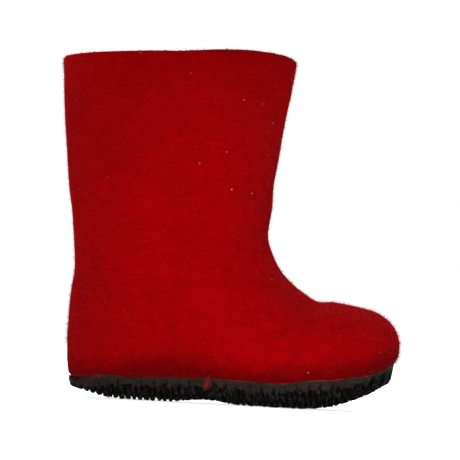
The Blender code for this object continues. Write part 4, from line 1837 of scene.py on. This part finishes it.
@dataclass
class HangingWisps:
    """Wisps of red wool that were left hanging from the felt over the sole's outer side."""

    form: SoleForm
    finish: FibreFinish
    thickness: float = 0.00011
    thinnest: float = 0.5
    steps: int = 7
    root_rise: tuple[float, float] = (0.0008, 0.0026)
    root_depth: float = 0.0004
    length_share: tuple[float, float] = (0.55, 1.0)
    lean: float = 0.16
    stand: tuple[float, float] = (0.0006, 0.0018)
    stand_arc: float = 2.4
    sway: float = 0.0006
    sway_turn: float = 5.0
    sway_start: float = 9.0
    wisps: tuple[Wisp, ...] = (Wisp(-0.0082, 0.0010, 0.0088, 64), Wisp(-0.0705, 0.0020, 0.0032, 40))

    def build(self) -> bpy.types.Object:
        """Hangs the fibres from the felt's edge, close to the rim.

        Returns:
            The wisps' object.
        """
        draw = np.random.RandomState(WISP_SEED)
        paths = np.array([self.path(wisp, draw) for wisp in self.wisps for _ in range(wisp.fibres)])
        radii = np.tile(self.thickness * np.linspace(1.0, self.thinnest, self.steps - 1), (len(paths), 1))
        piece = add_piece("felt_wisps", FibreStrands.mesh("felt_wisps", paths, radii), self.finish.make())
        return piece

    def path(self, wisp: Wisp, draw: np.random.RandomState) -> list[Place]:
        """The points of one fibre, from its root in the felt down over the rim.

        Args:
            wisp: the wisp that it belongs to.
            draw: the random draws.

        Returns:
            The fibre's points.
        """
        form = self.form
        x = wisp.x + draw.normal() * wisp.spread
        edge_y = -form.half_widths(x - form.heel_x, (form.start_x, form.end_x), -form.lip_out)[0]
        top = form.under_felt(x, edge_y) + draw.uniform(*self.root_rise)
        length = wisp.length * draw.uniform(*self.length_share)
        lean, stand = draw.normal() * self.lean, draw.uniform(*self.stand)
        root = form.felt.tree.ray_cast(Vector((x, OUTSIDE_Y, top)), Vector((0, 1, 0)))[0]
        near = min(root.y, edge_y)
        path = [(x, min(root.y + self.root_depth, edge_y), top)]
        for t in np.linspace(0, 1, self.steps)[1:]:
            sway = lean * length * t + self.sway * math.sin(self.sway_turn * t + self.sway_start * lean)
            path.append((x + sway, near - stand * math.sin(t * self.stand_arc), top - length * t))
        return path


class LampSpec(NamedTuple):
    """One soft lamp: where it stands and points, its size and strength, and its cone if it has one."""

    place: Place
    target: Place
    size: float
    watts: float
    cone: float = 0.0


class Lamp(Enum):
    """The studio's lamps."""

    KEY = LampSpec((-0.46, -2.17, 0.55), (0.048, 0.0, 0.056), 0.06, 202.0, 8.8)
    TOP = LampSpec((-0.75, -1.2, 1.6), (-0.088, 0.0, 0.236), 0.12, 175.0, 5.3)
    BACK = LampSpec((0.1, 1.45, 1.25), (0.0, 0.0, 0.1), 2.2, 42.0)


@dataclass
class Studio:
    """A light table as the floor, soft lamps, a surround that is seen as white, and the camera."""

    floor_reach: float = 14.0
    floor_drop: float = 0.0001
    floor_cells: int = 8
    sky: float = 0.50
    horizon: float = 0.235
    far_side: float = 0.03
    side_span: tuple[float, float] = (-0.4, 0.6)
    sky_span: tuple[float, float] = (0.10, 0.60)
    lens: float = 800.0
    sensor: float = 36.0
    target: Place = (0.0, 0.0, 0.1000)
    distance: float = 5.86
    height: float = 0.1000
    roll: float = 3.15

    def build(self) -> None:
        """Lays the floor and sets up the lamps, the surround and the camera."""
        self.lay_floor()
        for lamp in Lamp:
            self.hang_lamp(lamp)
        self.light_surround()
        self.set_camera()
        bpy.context.scene.view_settings.view_transform = "Standard"
        log.info("studio: floor, %d lamps and camera", len(Lamp))

    def light_surround(self) -> None:
        """Lights the surround, white as it is seen: brightest above, and dimmest on the toe's side."""
        world = bpy.context.scene.world or bpy.data.worlds.new("surround")
        bpy.context.scene.world = world
        world.use_nodes = True
        nodes = NodeMaker(world.node_tree)
        along, _, up = nodes.axes(nodes.node("ShaderNodeTexCoord", output="Generated"))
        seen = nodes.node("ShaderNodeLightPath", output="Is Camera Ray")
        level = self.horizon + (self.far_side - self.horizon) * nodes.between(along, *self.side_span)
        level = level + (self.sky - level) * nodes.between(up, *self.sky_span)
        strength = level + (1 - level) * seen
        background = world.node_tree.nodes["Background"]
        nodes.feed(background.inputs["Color"], (1.0, 1.0, 1.0, 1.0))
        nodes.feed(background.inputs["Strength"], strength)

    def lay_floor(self) -> None:
        """Lays the floor just under the lugs."""
        bm = bmesh.new()
        cells = self.floor_cells
        bmesh.ops.create_grid(bm, x_segments=cells, y_segments=cells, size=self.floor_reach)
        bmesh.ops.translate(bm, verts=bm.verts, vec=(0, 0, -self.floor_drop))
        mesh = bpy.data.meshes.new("studio_floor")
        bm.to_mesh(mesh)
        bm.free()
        mesh.materials.append(LIGHT_TABLE.make())
        floor = bpy.data.objects.new("studio_floor", mesh)
        bpy.context.scene.collection.objects.link(floor)

    def hang_lamp(self, lamp: Lamp) -> None:
        """Adds one soft lamp, pointed at its target: a square one, or a round one that fades to its cone."""
        spec = lamp.value
        data = bpy.data.lights.new("lamp_" + lamp.name.lower(), "SPOT" if spec.cone else "AREA")
        data.energy = spec.watts
        if spec.cone:
            data.spot_size = math.radians(spec.cone)
            data.spot_blend = 1.0
            data.shadow_soft_size = spec.size / 2
        else:
            data.size = spec.size
        made = bpy.data.objects.new(data.name, data)
        bpy.context.scene.collection.objects.link(made)
        made.location = spec.place
        made.rotation_euler = (Vector(spec.target) - made.location).to_track_quat("-Z", "Y").to_euler()

    def set_camera(self) -> None:
        """Stands the camera at the boot's outer side, rolled as the boot is seen."""
        data = bpy.data.cameras.new("camera")
        data.lens = self.lens
        data.sensor_width = self.sensor
        camera = bpy.data.objects.new("camera", data)
        bpy.context.scene.collection.objects.link(camera)
        camera.location = (self.target[0], -self.distance, self.height)
        look = (Vector(self.target) - camera.location).to_track_quat("-Z", "Y").to_matrix()
        camera.rotation_euler = (look @ Matrix.Rotation(math.radians(self.roll), 3, "Z")).to_euler()
        bpy.context.scene.camera = camera


def main() -> None:
    """Builds the boot's pieces in order, then the studio."""
    logging.basicConfig(level=logging.INFO, format="%(name)s: %(message)s")
    for old in [o for o in bpy.data.objects if o.type in {"CAMERA", "LIGHT"}]:
        bpy.data.objects.remove(old)
    felt = FeltUpper(BootLast(), RED_FELT)
    felt.build()
    form = SoleForm(felt)
    Outsole(form, BLACK_RUBBER).build()
    CementLine(form, TAN_CEMENT).build()
    Insole(form, GREY_FELT).build()
    nap = FeltNap(felt)
    for kind in Nap:
        nap.build(kind, form)
    knots = FeltKnots(felt)
    for kind in Knot:
        knots.build(kind)
    HangingWisps(form, WISP_FIBRE).build()
    Studio().build()


if __name__ == "__main__":
    main()
